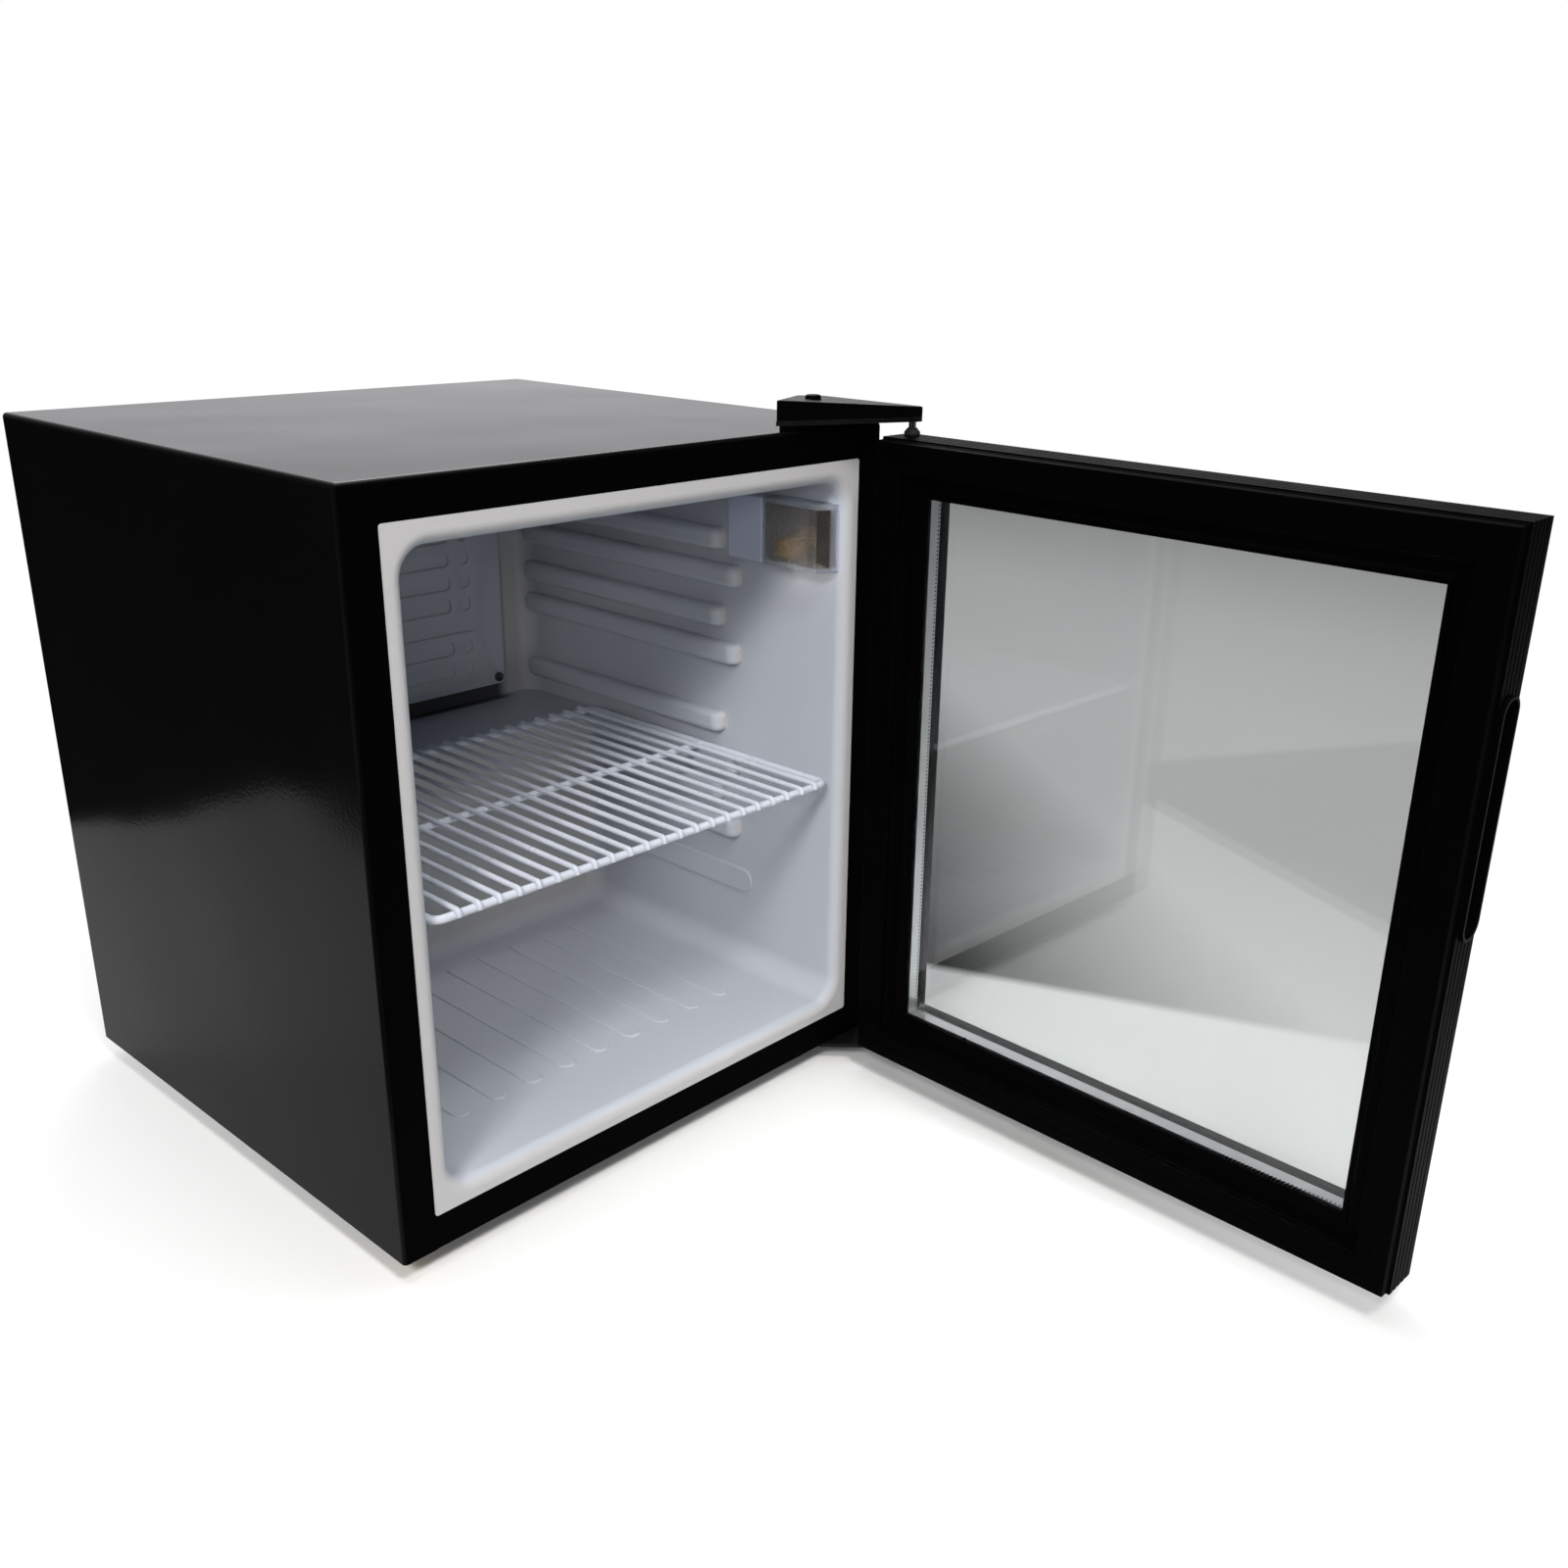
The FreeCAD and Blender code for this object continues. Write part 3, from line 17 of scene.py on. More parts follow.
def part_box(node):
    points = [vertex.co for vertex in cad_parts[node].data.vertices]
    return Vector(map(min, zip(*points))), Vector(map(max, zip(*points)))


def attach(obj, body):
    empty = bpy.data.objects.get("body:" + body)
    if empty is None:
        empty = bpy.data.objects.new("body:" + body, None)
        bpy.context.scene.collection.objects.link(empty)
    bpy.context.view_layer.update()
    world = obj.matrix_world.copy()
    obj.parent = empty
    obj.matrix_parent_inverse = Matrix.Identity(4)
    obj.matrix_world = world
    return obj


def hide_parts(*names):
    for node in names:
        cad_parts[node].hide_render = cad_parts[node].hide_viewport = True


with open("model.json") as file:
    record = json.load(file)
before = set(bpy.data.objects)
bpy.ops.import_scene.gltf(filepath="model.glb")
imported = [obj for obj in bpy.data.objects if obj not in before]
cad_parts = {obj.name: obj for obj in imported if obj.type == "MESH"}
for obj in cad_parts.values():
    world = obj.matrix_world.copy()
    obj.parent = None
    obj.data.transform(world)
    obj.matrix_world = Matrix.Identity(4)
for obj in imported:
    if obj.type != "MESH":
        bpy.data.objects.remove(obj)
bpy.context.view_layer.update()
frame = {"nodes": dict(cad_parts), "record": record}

# %% [markdown]
# ## The camera
# The fridge is seen from above its left front corner and from close by, so its edges run together
# clearly. A camera is a place, three axes and a lens. The axes are written as directions in the room
# and become the columns of a matrix, which is steadier than three angles when a camera is rolled by a
# degree or so. The shift slides the picture in its frame without turning the camera.

# %% Camera
camera_spot = Vector((-0.6232, -0.9014, 0.6112))
to_right = Vector((0.67467, -0.73791, 0.01779))
to_bottom = Vector((-0.25135, -0.25233, -0.93442))
to_front = Vector((0.69401, 0.62596, -0.35572))

turn = Matrix((to_right, -to_bottom, -to_front)).transposed().to_4x4()
bpy.ops.object.camera_add()
camera = bpy.context.object
camera.name = "camera"
camera.matrix_world = Matrix.Translation(camera_spot) @ turn
camera.data.sensor_width = 36
camera.data.lens = 34.85
camera.data.shift_x = -0.01725
camera.data.shift_y = 0.01825
bpy.context.scene.camera = camera
bpy.context.scene.view_settings.view_transform = "Standard"
print("camera", [round(v, 3) for v in camera.location], "lens", camera.data.lens, "mm")

# %% [markdown]
# ## Small helpers for node trees
# A material is a tree of nodes, and most of its lines would be the making and linking of nodes. Two
# short helpers do that: one sets or links a socket, and one adds a node with its values. The others
# name the nodes that turn up most, so that each finish below can be read as a recipe.

# %% Adding and linking nodes
def put(tree, socket, value):
    """Links a socket to another node's output, or sets its number or colour."""
    if isinstance(value, bpy.types.NodeSocket):
        tree.links.new(value, socket)
    elif socket.type == "RGBA" and len(value) == 3:
        socket.default_value = (*value, 1)
    else:
        socket.default_value = value


def node(tree, kind, values, **settings):
    """A node of one kind, with its settings and its sockets filled in by name or number."""
    made = tree.nodes.new("ShaderNode" + kind)
    for key, value in settings.items():
        setattr(made, key, value)
    for key, value in values.items():
        put(tree, made.inputs[key], value)
    return made


def shader(material):
    """A material's node tree and its main shader."""
    return material.node_tree, material.node_tree.nodes["Principled BSDF"]


def feed(bsdf, name):
    """The output that a socket of the shader is linked to so far."""
    return bsdf.inputs[name].links[0].from_socket


print("helpers that add and link nodes: put, node, shader, feed")

# %% Mixing and reckoning
def mixed(tree, mask, low, high):
    """A colour between two, as the mask says."""
    return node(tree, "Mix", {0: mask, 6: low, 7: high}, data_type="RGBA").outputs[2]


def between(tree, share, low, high):
    """A value between two, as the share says."""
    return node(tree, "Mix", {0: share, 2: low, 3: high}).outputs[0]


def ranged(tree, value, low, high, new_low=0.0, new_high=1.0):
    """A value stretched from one range to another, and held inside it."""
    values = {0: value, 1: low, 2: high, 3: new_low, 4: new_high}
    return node(tree, "MapRange", values).outputs[0]


def reckon(tree, way, first, *others):
    """Values added, multiplied or compared, one after another; a wave or a size takes just one."""
    for other in others or (0.0,):
        first = node(tree, "Math", {0: first, 1: other}, operation=way).outputs[0]
    return first


print("helpers that mix and reckon: mixed, between, ranged, reckon")

# %% Places and directions
def here(tree):
    """Where a point lies, in metres."""
    return node(tree, "TexCoord", {}).outputs["Object"]


def facing(tree):
    """Which way the surface looks."""
    return node(tree, "NewGeometry", {}).outputs["Normal"]


def numbers(tree, vector):
    """The three numbers of a place or a direction."""
    return node(tree, "SeparateXYZ", {0: vector}).outputs


def towards(tree, vector, way):
    """How far a vector reaches in one direction."""
    return node(tree, "VectorMath", {0: vector, 1: way}, operation="DOT_PRODUCT").outputs["Value"]


def noise(tree, vector, scale, detail, rough=0.5, warp=0.0):
    """Cloudy values that change from place to place."""
    values = {"Vector": vector, "Scale": scale, "Detail": detail, "Roughness": rough, "Distortion": warp}
    return node(tree, "TexNoise", values).outputs[0]


print("helpers for places: here, facing, numbers, towards, noise")

# %% [markdown]
# ## Floor
# The fridge stands on a pale studio floor, and the camera itself sees plain white around it. Gloss
# black and glass show more than that: a sheet of pale paper under the fridge shows in the lower half
# of its left side, where the paper's back edge curls, and the door glass shows where the paper ends,
# with a floor beyond that is painted dark near the fridge, a painted shadow, and lighter away from it,
# and a lighter wedge beyond. One floor can do both, because Light Path tells the camera's own rays
# from those that reflect. Each edge is a line across the floor, and a dot product says how far a
# point lies past it.

# %% Floor
bpy.ops.object.select_all(action="DESELECT")
bpy.ops.mesh.primitive_plane_add(size=16)
floor = bpy.context.object
floor.name = "floor"
print("floor", [round(v, 1) for v in floor.dimensions[:2]], "m")

# %% Where the paper ends
studio_floor = bpy.data.materials.new("studio_floor")
studio_floor.use_nodes = True
tree, bsdf = shader(studio_floor)
spot = here(tree)
spot_x = numbers(tree, spot)[0]


def past(way, near, far):
    """0 before a line across the floor and 1 past it, with a soft strip between."""
    return ranged(tree, towards(tree, spot, (*way, 0.0)), near, far)


right_edge = past((0.93, 0.37), 0.27, 0.285)
left_front, left_back = past((-1.0, -0.376), 0.488, 0.491), past((-1.0, -0.209), 0.51, 0.516)
waves_per_metre, first_wave, curl_depth = 38.0, 4.27, 0.025
wave = reckon(tree, "ADD", reckon(tree, "MULTIPLY", spot_x, waves_per_metre), first_wave)
curl = reckon(tree, "MULTIPLY", reckon(tree, "SINE", wave), -curl_depth)
to_back = reckon(tree, "ADD", towards(tree, spot, (-0.26, 1.0, 0.0)), curl)
back_edge = ranged(tree, to_back, 0.795, 0.81)
left_edge = reckon(tree, "MAXIMUM", left_front, left_back)
outside = reckon(tree, "MAXIMUM", right_edge, back_edge, left_edge)
print("paper with four edges, the back one curled by", 1000 * curl_depth, "mm")

# %% What gloss and glass see of the floor
def grey(value):
    """A colour that is as bright as a value."""
    return node(tree, "CombineColor", {0: value, 1: value, 2: value}).outputs[0]


# Painted shadow: beyond the paper the floor is painted dark near the fridge and lighter away from it and
# farther right.
dim, lit = 0.012, 0.37
beyond = ranged(tree, towards(tree, spot, (1.0, -0.7, 0.0)), 0.48, 0.84, dim, lit)
far_right = ranged(tree, towards(tree, spot, (1.0, 0.0, 0.0)), 0.8, 1.8, 0.0, 0.07)
# A wedge of floor farther out is made lighter; the code only lifts the tone there.
wedge_lift = 0.25
lighter_wedge = reckon(
    tree, "MULTIPLY", past((-0.487, 0.873), 0.318, 0.324), past((0.45, 1.0), 0.15, 0.1), wedge_lift)
beyond = reckon(tree, "ADD", beyond, far_right, lighter_wedge)
paper = ranged(tree, spot_x, 0.1, 0.3, 0.56, 0.47)
mirrored = mixed(tree, outside, grey(paper), grey(beyond))
print("floor beyond the paper from", dim, "to", lit)

# %% Floor finish
plain_floor = (0.80, 0.80, 0.80)
fridge_middle, white_from, white_at = (0.05, -0.2, 0.0), 0.25, 0.85

seen = node(tree, "LightPath", {}).outputs["Is Camera Ray"]
put(tree, bsdf.inputs["Base Color"], mixed(tree, seen, mirrored, plain_floor))
bsdf.inputs["Roughness"].default_value = 0.9
bsdf.inputs["Specular IOR Level"].default_value = 0.1
away = node(tree, "VectorMath", {0: spot, 1: fridge_middle}, operation="DISTANCE").outputs["Value"]
fading = reckon(tree, "MULTIPLY", ranged(tree, away, white_from, white_at), seen)
white = node(tree, "Emission", {"Color": (1, 1, 1), "Strength": 1.0})
both = node(tree, "MixShader", {0: fading, 1: bsdf.outputs[0], 2: white.outputs[0]})
put(tree, tree.nodes["Material Output"].inputs["Surface"], both.outputs[0])
floor.data.materials.append(studio_floor)
print("floor fades to white", white_at, "m from the fridge")

# %% [markdown]
# ## Room and light
# Gloss black is only as bright as what it mirrors. A bright wall behind and to the right makes the
# top shine, and the rest of the room is dim, so the upper half of the left side stays black. Three
# small soft lights in front light the white inside. They are kept out of reflections, because they
# would show as white squares in the glass; a wide one overhead and one behind may be mirrored.

# %% Room
bright_wall, wall_dim, wall_lit = (0.58, 0.81, 0.05), 0.05, 0.82
world = bpy.data.worlds.new("studio")
bpy.context.scene.world = world
world.use_nodes = True
tree = world.node_tree
direction = node(tree, "TexCoord", {}).outputs["Generated"]
wall = ranged(tree, towards(tree, direction, bright_wall), 0.55, 1.0, wall_dim, wall_lit)
bluer = reckon(tree, "MULTIPLY", wall, 1.03)
room_light = node(tree, "CombineColor", {0: wall, 1: wall, 2: bluer}).outputs[0]
seen = node(tree, "LightPath", {}).outputs["Is Camera Ray"]
put(tree, tree.nodes["Background"].inputs["Color"], mixed(tree, seen, room_light, (1, 1, 1)))
print("room", world.name, "from", wall_dim, "to", wall_lit)

# %% Soft light
def softbox(name, spot, aim, size, power, tint, mirrored=True):
    """A square soft light that looks at a point, seen in reflections or not."""
    bpy.ops.object.light_add(type="AREA", location=spot)
    lamp = bpy.context.object
    lamp.name = name
    lamp.data.size = size
    lamp.data.energy = power
    lamp.data.color = tint
    lamp.rotation_euler = (Vector(aim) - Vector(spot)).to_track_quat("-Z", "Y").to_euler()
    lamp.visible_glossy = mirrored
    print("light", name, power, "W")


warm, cool, neutral = (1.0, 0.985, 0.97), (0.97, 0.985, 1.0), (1.0, 1.0, 1.0)
open_front = (0.0, -0.1, 0.2)
softbox("high_light", (-0.48, -1.43, 2.14), open_front, 0.5, 28, warm, mirrored=False)
softbox("side_light", (-1.68, -1.07, 1.61), open_front, 0.5, 35, warm, mirrored=False)
softbox("low_light", (-1.56, -1.77, 0.94), open_front, 0.5, 11, warm, mirrored=False)
softbox("top_light", (0.3, 0.2, 2.6), (0.1, -0.1, 0.0), 2.2, 58, cool)
softbox("rear_light", (1.5, 1.9, 2.0), (0.0, 0.2, 0.2), 1.2, 22, neutral)

# %% [markdown]
# ## Effects that many finishes share
# Grain, slow changes of tone, hazy patches from handling, settled dust and rubbed edges turn up on
# paint, plastic, rubber and metal alike. Each is built once as a node group with named inputs, and
# placed in a finish with its own values. A group gives only values and colours; the shader itself
# stays in the material.

# %% Making and placing an effect
def effect(name, inputs, output, kind="NodeSocketFloat"):
    """Starts a node group with named inputs and one output."""
    group = bpy.data.node_groups.new(name, "ShaderNodeTree")
    for label, start in inputs.items():
        colour = isinstance(start, tuple)
        sort = "NodeSocketColor" if colour else "NodeSocketFloat"
        socket = group.interface.new_socket(name=label, in_out="INPUT", socket_type=sort)
        socket.default_value = (*start, 1) if colour else start
    group.interface.new_socket(name=output, in_out="OUTPUT", socket_type=kind)
    given = group.nodes.new("NodeGroupInput").outputs
    result = group.nodes.new("NodeGroupOutput").inputs[output]
    print("effect", name, "takes", ", ".join(inputs), "and gives", output)
    return group, given, result, here(group)


def use(tree, group, **values):
    """Places an effect in a material and gives its output."""
    made = tree.nodes.new("ShaderNodeGroup")
    made.node_tree = group
    for key, value in values.items():
        put(tree, made.inputs[key], value)
    return made.outputs[0]


print("helpers for effects: effect, use")

# %% Grain: fine orange peel over a broader swell
grain, given, result, place = effect("grain", {"fine": 900.0, "broad": 60.0, "swell": 0.3}, "height")
peel = noise(grain, place, given["fine"], 2.0)
waviness = noise(grain, place, given["broad"], 1.0)
put(grain, result, between(grain, given["swell"], peel, waviness))

# %% Tone: two close colours that drift into one another, with a fine speckle
tone, given, result, place = effect(
    "tone", {"dark": (0.1, 0.1, 0.1), "light": (0.2, 0.2, 0.2), "size": 14.0, "speckle": 0.2},
    "colour", "NodeSocketColor")
slow = ranged(tone, noise(tone, place, given["size"], 4.0, 0.55), 0.3, 0.7)
specks = noise(tone, place, 1400.0, 1.0)
drift = between(tone, given["speckle"], slow, specks)
put(tone, result, mixed(tone, drift, given["dark"], given["light"]))

# %% Haze: patches and wiping streaks that change the gloss
haze, given, result, place = effect("haze", {"clean": 0.2, "hazy": 0.3, "size": 9.0}, "roughness")
drawn_out = node(haze, "Mapping", {"Vector": place, "Scale": (1.0, 1.0, 0.25)}).outputs[0]
patches = noise(haze, place, given["size"], 5.0, 0.6, 0.6)
streaks = noise(haze, drawn_out, reckon(haze, "MULTIPLY", given["size"], 9.0), 2.0)
wiped = ranged(haze, between(haze, 0.35, patches, streaks), 0.35, 0.7)
put(haze, result, between(haze, wiped, given["clean"], given["hazy"]))

# %% Dust: lies on what faces up
dust, given, result, place = effect("dust", {"amount": 0.2, "size": 120.0}, "mask")
level = ranged(dust, numbers(dust, facing(dust))[2], 0.5, 1.0)
clumps = ranged(dust, noise(dust, place, given["size"], 6.0, 0.7), 0.45, 0.75)
put(dust, result, reckon(dust, "MULTIPLY", level, clumps, given["amount"]))

# %% Rub: edges that hands and boxes touch
rub, given, result, place = effect("rub", {"width": 0.0012, "amount": 0.5}, "mask")
rounded = node(rub, "Bevel", {"Radius": given["width"]}, samples=4).outputs[0]
edge = ranged(rub, towards(rub, rounded, facing(rub)), 0.995, 0.85)
broken = ranged(rub, noise(rub, place, 220.0, 4.0, 0.65), 0.4, 0.6)
put(rub, result, reckon(rub, "MULTIPLY", edge, broken, given["amount"]))

# %% [markdown]
# ## A recipe for everyday finishes
# Most pieces of a fridge are paint, plastic, rubber or plated metal. They differ in tone, gloss,
# grain and wear, but are put together in the same way, so one function builds them from the effects.
# Sizes are scales of noise, so a larger number gives a finer pattern. The numbers that stay the same
# all over a piece, such as metal or the strength of its mirror, go straight on the shader.

# %% Everyday finish
dust_colour, dust_dulls = (0.30, 0.29, 0.28), 0.5


def finish(name, dark, light, clean, hazy, size=14.0, speckle=0.2, marks=9.0,
           fine=900.0, broad=60.0, swell=0.3, depth=0.00002, dusty=0.0, bare=None, rubbed=0.0, **same):
    """A material from the shared effects: depth is the grain's, in metres, and same goes on the shader."""
    made = bpy.data.materials.new(name)
    made.use_nodes = True
    tree, bsdf = shader(made)
    colour = use(tree, tone, dark=dark, light=light, size=size, speckle=speckle)
    gloss = use(tree, haze, clean=clean, hazy=hazy, size=marks)
    if bare:
        colour = mixed(tree, use(tree, rub, amount=rubbed), colour, bare)
    if dusty:
        film = use(tree, dust, amount=dusty)
        colour = mixed(tree, film, colour, dust_colour)
        gloss = reckon(tree, "ADD", gloss, reckon(tree, "MULTIPLY", film, dust_dulls))
    put(tree, bsdf.inputs["Base Color"], colour)
    put(tree, bsdf.inputs["Roughness"], gloss)
    height = use(tree, grain, fine=fine, broad=broad, swell=swell)
    bump = node(tree, "Bump", {"Strength": 1.0, "Distance": depth, "Height": height})
    put(tree, bsdf.inputs["Normal"], bump.outputs[0])
    for key, value in same.items():
        socket = key.replace("_", " ").title().replace("Ior", "IOR")
        bsdf.inputs[socket].default_value = value
    return made


print("everyday finish from", ", ".join(group.name for group in bpy.data.node_groups))

# %% Dressing a slot
worn_by = {}
for part in frame["record"]["subparts"]:
    worn_by.setdefault(part["material_slot"], []).append(part["node"])


def dress(slot, material):
    """Puts a finish on every node of a slot."""
    for name in worn_by[slot]:
        for place in frame["nodes"][name].material_slots:
            place.material = material
    print("finish", material.name, "on", ", ".join(worn_by[slot]))


print("slots to dress", len(worn_by))

# %% [markdown]
# ## Black sheet and black plastics
# The wrapper is coil-coated sheet: deep black and glossy, with a fine orange peel and a slow swell
# that makes reflections wander. Where it is folded round to the front it is matte: what faces the
# front is made rough by its normal, and is painted a shade blacker there as painted shade. The door
# frame is extruded plastic, duller, and rubbed along its edges. The handle and the hinge cover are
# moulded and shinier.

# %% Cabinet paint
black_paint = finish(
    "cabinet_paint", (0.0022, 0.0022, 0.0023), (0.0032, 0.0032, 0.0034), clean=0.10, hazy=0.13, size=5.0,
    marks=6.0, fine=420.0, broad=6.0, swell=0.97, depth=0.0016, dusty=0.01,
    bare=(0.015, 0.015, 0.015), rubbed=0.08, specular_ior_level=0.067)
# Painted shade: faces that look to the front are painted blacker than the rest of the paint; they are also
# made rough.
painted_shade_black = (0.0006, 0.0006, 0.0006)
tree, bsdf = shader(black_paint)
dull_and_shade = ranged(tree, numbers(tree, facing(tree))[1], -0.7, -0.95)
put(tree, bsdf.inputs["Roughness"], reckon(tree, "MAXIMUM", feed(bsdf, "Roughness"), dull_and_shade))
put(tree, bsdf.inputs["Base Color"], mixed(tree, dull_and_shade, feed(bsdf, "Base Color"), painted_shade_black))
dress("black_paint", black_paint)

# %% Door frame, mouldings and brackets
dress("black_frame", finish(
    "frame_plastic", (0.0006, 0.0006, 0.0007), (0.0011, 0.0011, 0.0013), clean=0.33, hazy=0.45, size=8.0,
    marks=7.0, fine=1100.0, broad=90.0, swell=0.4, depth=0.00003,
    bare=(0.005, 0.005, 0.005), rubbed=0.25, specular_ior_level=0.012))
dress("gloss_black", finish(
    "gloss_moulding", (0.0009, 0.0009, 0.001), (0.0016, 0.0016, 0.0018), clean=0.24, hazy=0.34, size=10.0,
    fine=600.0, broad=25.0, swell=0.7, depth=0.0001, dusty=0.01,
    bare=(0.008, 0.008, 0.008), rubbed=0.25, specular_ior_level=0.025))
dress("black_bracket", finish(
    "bracket_coat", (0.0025, 0.0025, 0.0025), (0.005, 0.005, 0.0052), clean=0.32, hazy=0.45, size=40.0,
    fine=700.0, broad=300.0, swell=0.5, depth=0.00006,
    bare=(0.03, 0.03, 0.03), rubbed=0.4, specular_ior_level=0.2))

# %% [markdown]
# ## White inside
# The liner is drawn from one sheet of white plastic, with a soft gloss; the cool tint of its walls
# stands for shade, and the flange that faces the front is painted lighter and more neutral as painted
# light. The corner behind and beside the cold plate is painted nearly black, a painted shade. The
# plate is coated aluminium, a little greyer; the shelf is steel wire dipped in white plastic, which
# gathers where wires cross.

# %% Liner
liner_plastic = finish(
    "liner_plastic", (0.435, 0.462, 0.51), (0.46, 0.487, 0.535), clean=0.34, hazy=0.37, size=4.0,
    speckle=0.12, fine=900.0, broad=12.0, swell=0.9, depth=0.0003)
painted_light_flange, painted_shade_colour = (0.495, 0.49, 0.495), (0.02, 0.021, 0.024)
plate_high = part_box("evaporator_plate")[1]
tree, bsdf = shader(liner_plastic)
# Painted light: faces that look to the front, the flange, are painted lighter and more neutral than the
# cool walls.
painted_light_front = ranged(tree, numbers(tree, facing(tree))[1], -0.6, -0.98)
colour = mixed(tree, painted_light_front, feed(bsdf, "Base Color"), painted_light_flange)
place = numbers(tree, here(tree))
# Painted shade: the wall behind and beside the cold plate is painted nearly black.
behind = ranged(tree, place[1], plate_high.y, plate_high.y + 0.002)
beside = ranged(tree, place[0], plate_high.x + 0.012, plate_high.x)
painted_shade_mask = reckon(tree, "MULTIPLY", behind, beside, 0.9)
put(tree, bsdf.inputs["Base Color"], mixed(tree, painted_shade_mask, colour, painted_shade_colour))
dress("white_liner", liner_plastic)

# %% Cold plate, lamp housing and shelf
white_coat = finish(
    "plate_coat", (0.45, 0.475, 0.525), (0.485, 0.51, 0.555), clean=0.32, hazy=0.42, size=9.0,
    fine=900.0, broad=40.0, swell=0.5, depth=0.00008, dusty=0.05)
dress("white_coat", white_coat)
dress("white_plastic", finish(
    "housing_plastic", (0.46, 0.49, 0.61), (0.49, 0.52, 0.64), clean=0.34, hazy=0.44, size=20.0,
    fine=1200.0, broad=80.0, swell=0.2, depth=0.00003))
dress("white_wire", finish(
    "wire_dip", (0.52, 0.55, 0.62), (0.57, 0.60, 0.67), clean=0.26, hazy=0.32, size=30.0,
    fine=500.0, broad=60.0, swell=0.8, depth=0.00004))

# %% [markdown]
# ## Metals
# Galvanised sheet shows spangles, crystals of zinc a few millimetres wide that each catch the light
# differently: a Voronoi pattern gives every cell its own tone. Copper lines go brown where hands and
# heat touched them. Screws and pins are plated or turned, and the compressor's shells are enamelled.

# %% Galvanised sheet
zinc_sheet = finish(
    "galvanised_sheet", (0.42, 0.43, 0.44), (0.55, 0.56, 0.57), clean=0.34, hazy=0.5, size=6.0, dusty=0.2,
    bare=(0.7, 0.7, 0.7), rubbed=0.3, metallic=1.0)
bright_zinc, spangles_per_metre = (0.70, 0.71, 0.72), 130.0
tree, bsdf = shader(zinc_sheet)
pattern = {"Vector": here(tree), "Scale": spangles_per_metre, "Randomness": 1.0}
crystals = node(tree, "TexVoronoi", pattern)
flake = node(tree, "SeparateColor", {0: crystals.outputs["Color"]}).outputs[0]
shine = ranged(tree, flake, 0.0, 1.0, 0.0, 0.5)
put(tree, bsdf.inputs["Base Color"], mixed(tree, shine, feed(bsdf, "Base Color"), bright_zinc))
dress("zinc_sheet", zinc_sheet)

# %% Copper, screws, pins and the compressor
dress("copper_line", finish(
    "drawn_copper", (0.20, 0.085, 0.045), (0.62, 0.30, 0.18), clean=0.22, hazy=0.42, size=22.0,
    speckle=0.1, dusty=0.1, metallic=1.0))
dress("dark_screw", finish(
    "dark_plating", (0.05, 0.047, 0.045), (0.16, 0.15, 0.145), clean=0.22, hazy=0.36, size=180.0,
    bare=(0.45, 0.44, 0.43), rubbed=0.7, metallic=1.0))
dress("zinc_screw", finish(
    "zinc_plating", (0.40, 0.39, 0.36), (0.58, 0.57, 0.53), clean=0.25, hazy=0.4, size=160.0,
    bare=(0.7, 0.7, 0.7), rubbed=0.6, metallic=1.0))
dress("bright_pin", finish(
    "turned_steel", (0.45, 0.45, 0.46), (0.6, 0.6, 0.61), clean=0.18, hazy=0.3, size=120.0, metallic=1.0))
dress("pump_iron", finish(
    "pump_casting", (0.10, 0.10, 0.105), (0.18, 0.18, 0.185), clean=0.5, hazy=0.65, size=60.0,
    metallic=1.0))
dress("black_enamel", finish(
    "enamel_coat", (0.006, 0.006, 0.0065), (0.012, 0.012, 0.0125), clean=0.2, hazy=0.34, size=18.0,
    fine=300.0, broad=40.0, swell=0.6, depth=0.0002, dusty=0.35, bare=(0.12, 0.12, 0.12), rubbed=0.4))

# %% [markdown]
# ## Plastics and rubber at the back and underneath
# The feet, the control box, its knob and rocker, the pan and the clips are plain mouldings with a
# spark-eroded texture: a fine even grain that keeps them matte. Rubber is duller and blooms grey. The
# foam between the walls is never seen, but a section through the model would show it.

# %% Feet and controls
dress("black_foot", finish(
    "foot_plastic", (0.010, 0.010, 0.0105), (0.020, 0.020, 0.021), clean=0.45, hazy=0.6, size=50.0,
    fine=1500.0, broad=300.0, swell=0.3, depth=0.00006, dusty=0.15, bare=(0.07, 0.07, 0.07), rubbed=0.6))
dress("control_grey", finish(
    "control_moulding", (0.018, 0.018, 0.019), (0.030, 0.030, 0.032), clean=0.45, hazy=0.58, size=25.0,
    fine=1600.0, broad=500.0, swell=0.4, depth=0.00006, dusty=0.25, bare=(0.08, 0.08, 0.08), rubbed=0.4))
dress("knob_plastic", finish(
    "knob_moulding", (0.010, 0.010, 0.0105), (0.018, 0.018, 0.019), clean=0.3, hazy=0.42, size=60.0,
    fine=1500.0, broad=400.0, swell=0.3, depth=0.00004, dusty=0.15, bare=(0.09, 0.09, 0.09), rubbed=0.5))
dress("rocker_plastic", finish(
    "rocker_moulding", (0.008, 0.008, 0.0085), (0.014, 0.014, 0.0145), clean=0.16, hazy=0.28, size=60.0,
    dusty=0.12, bare=(0.06, 0.06, 0.06), rubbed=0.5))

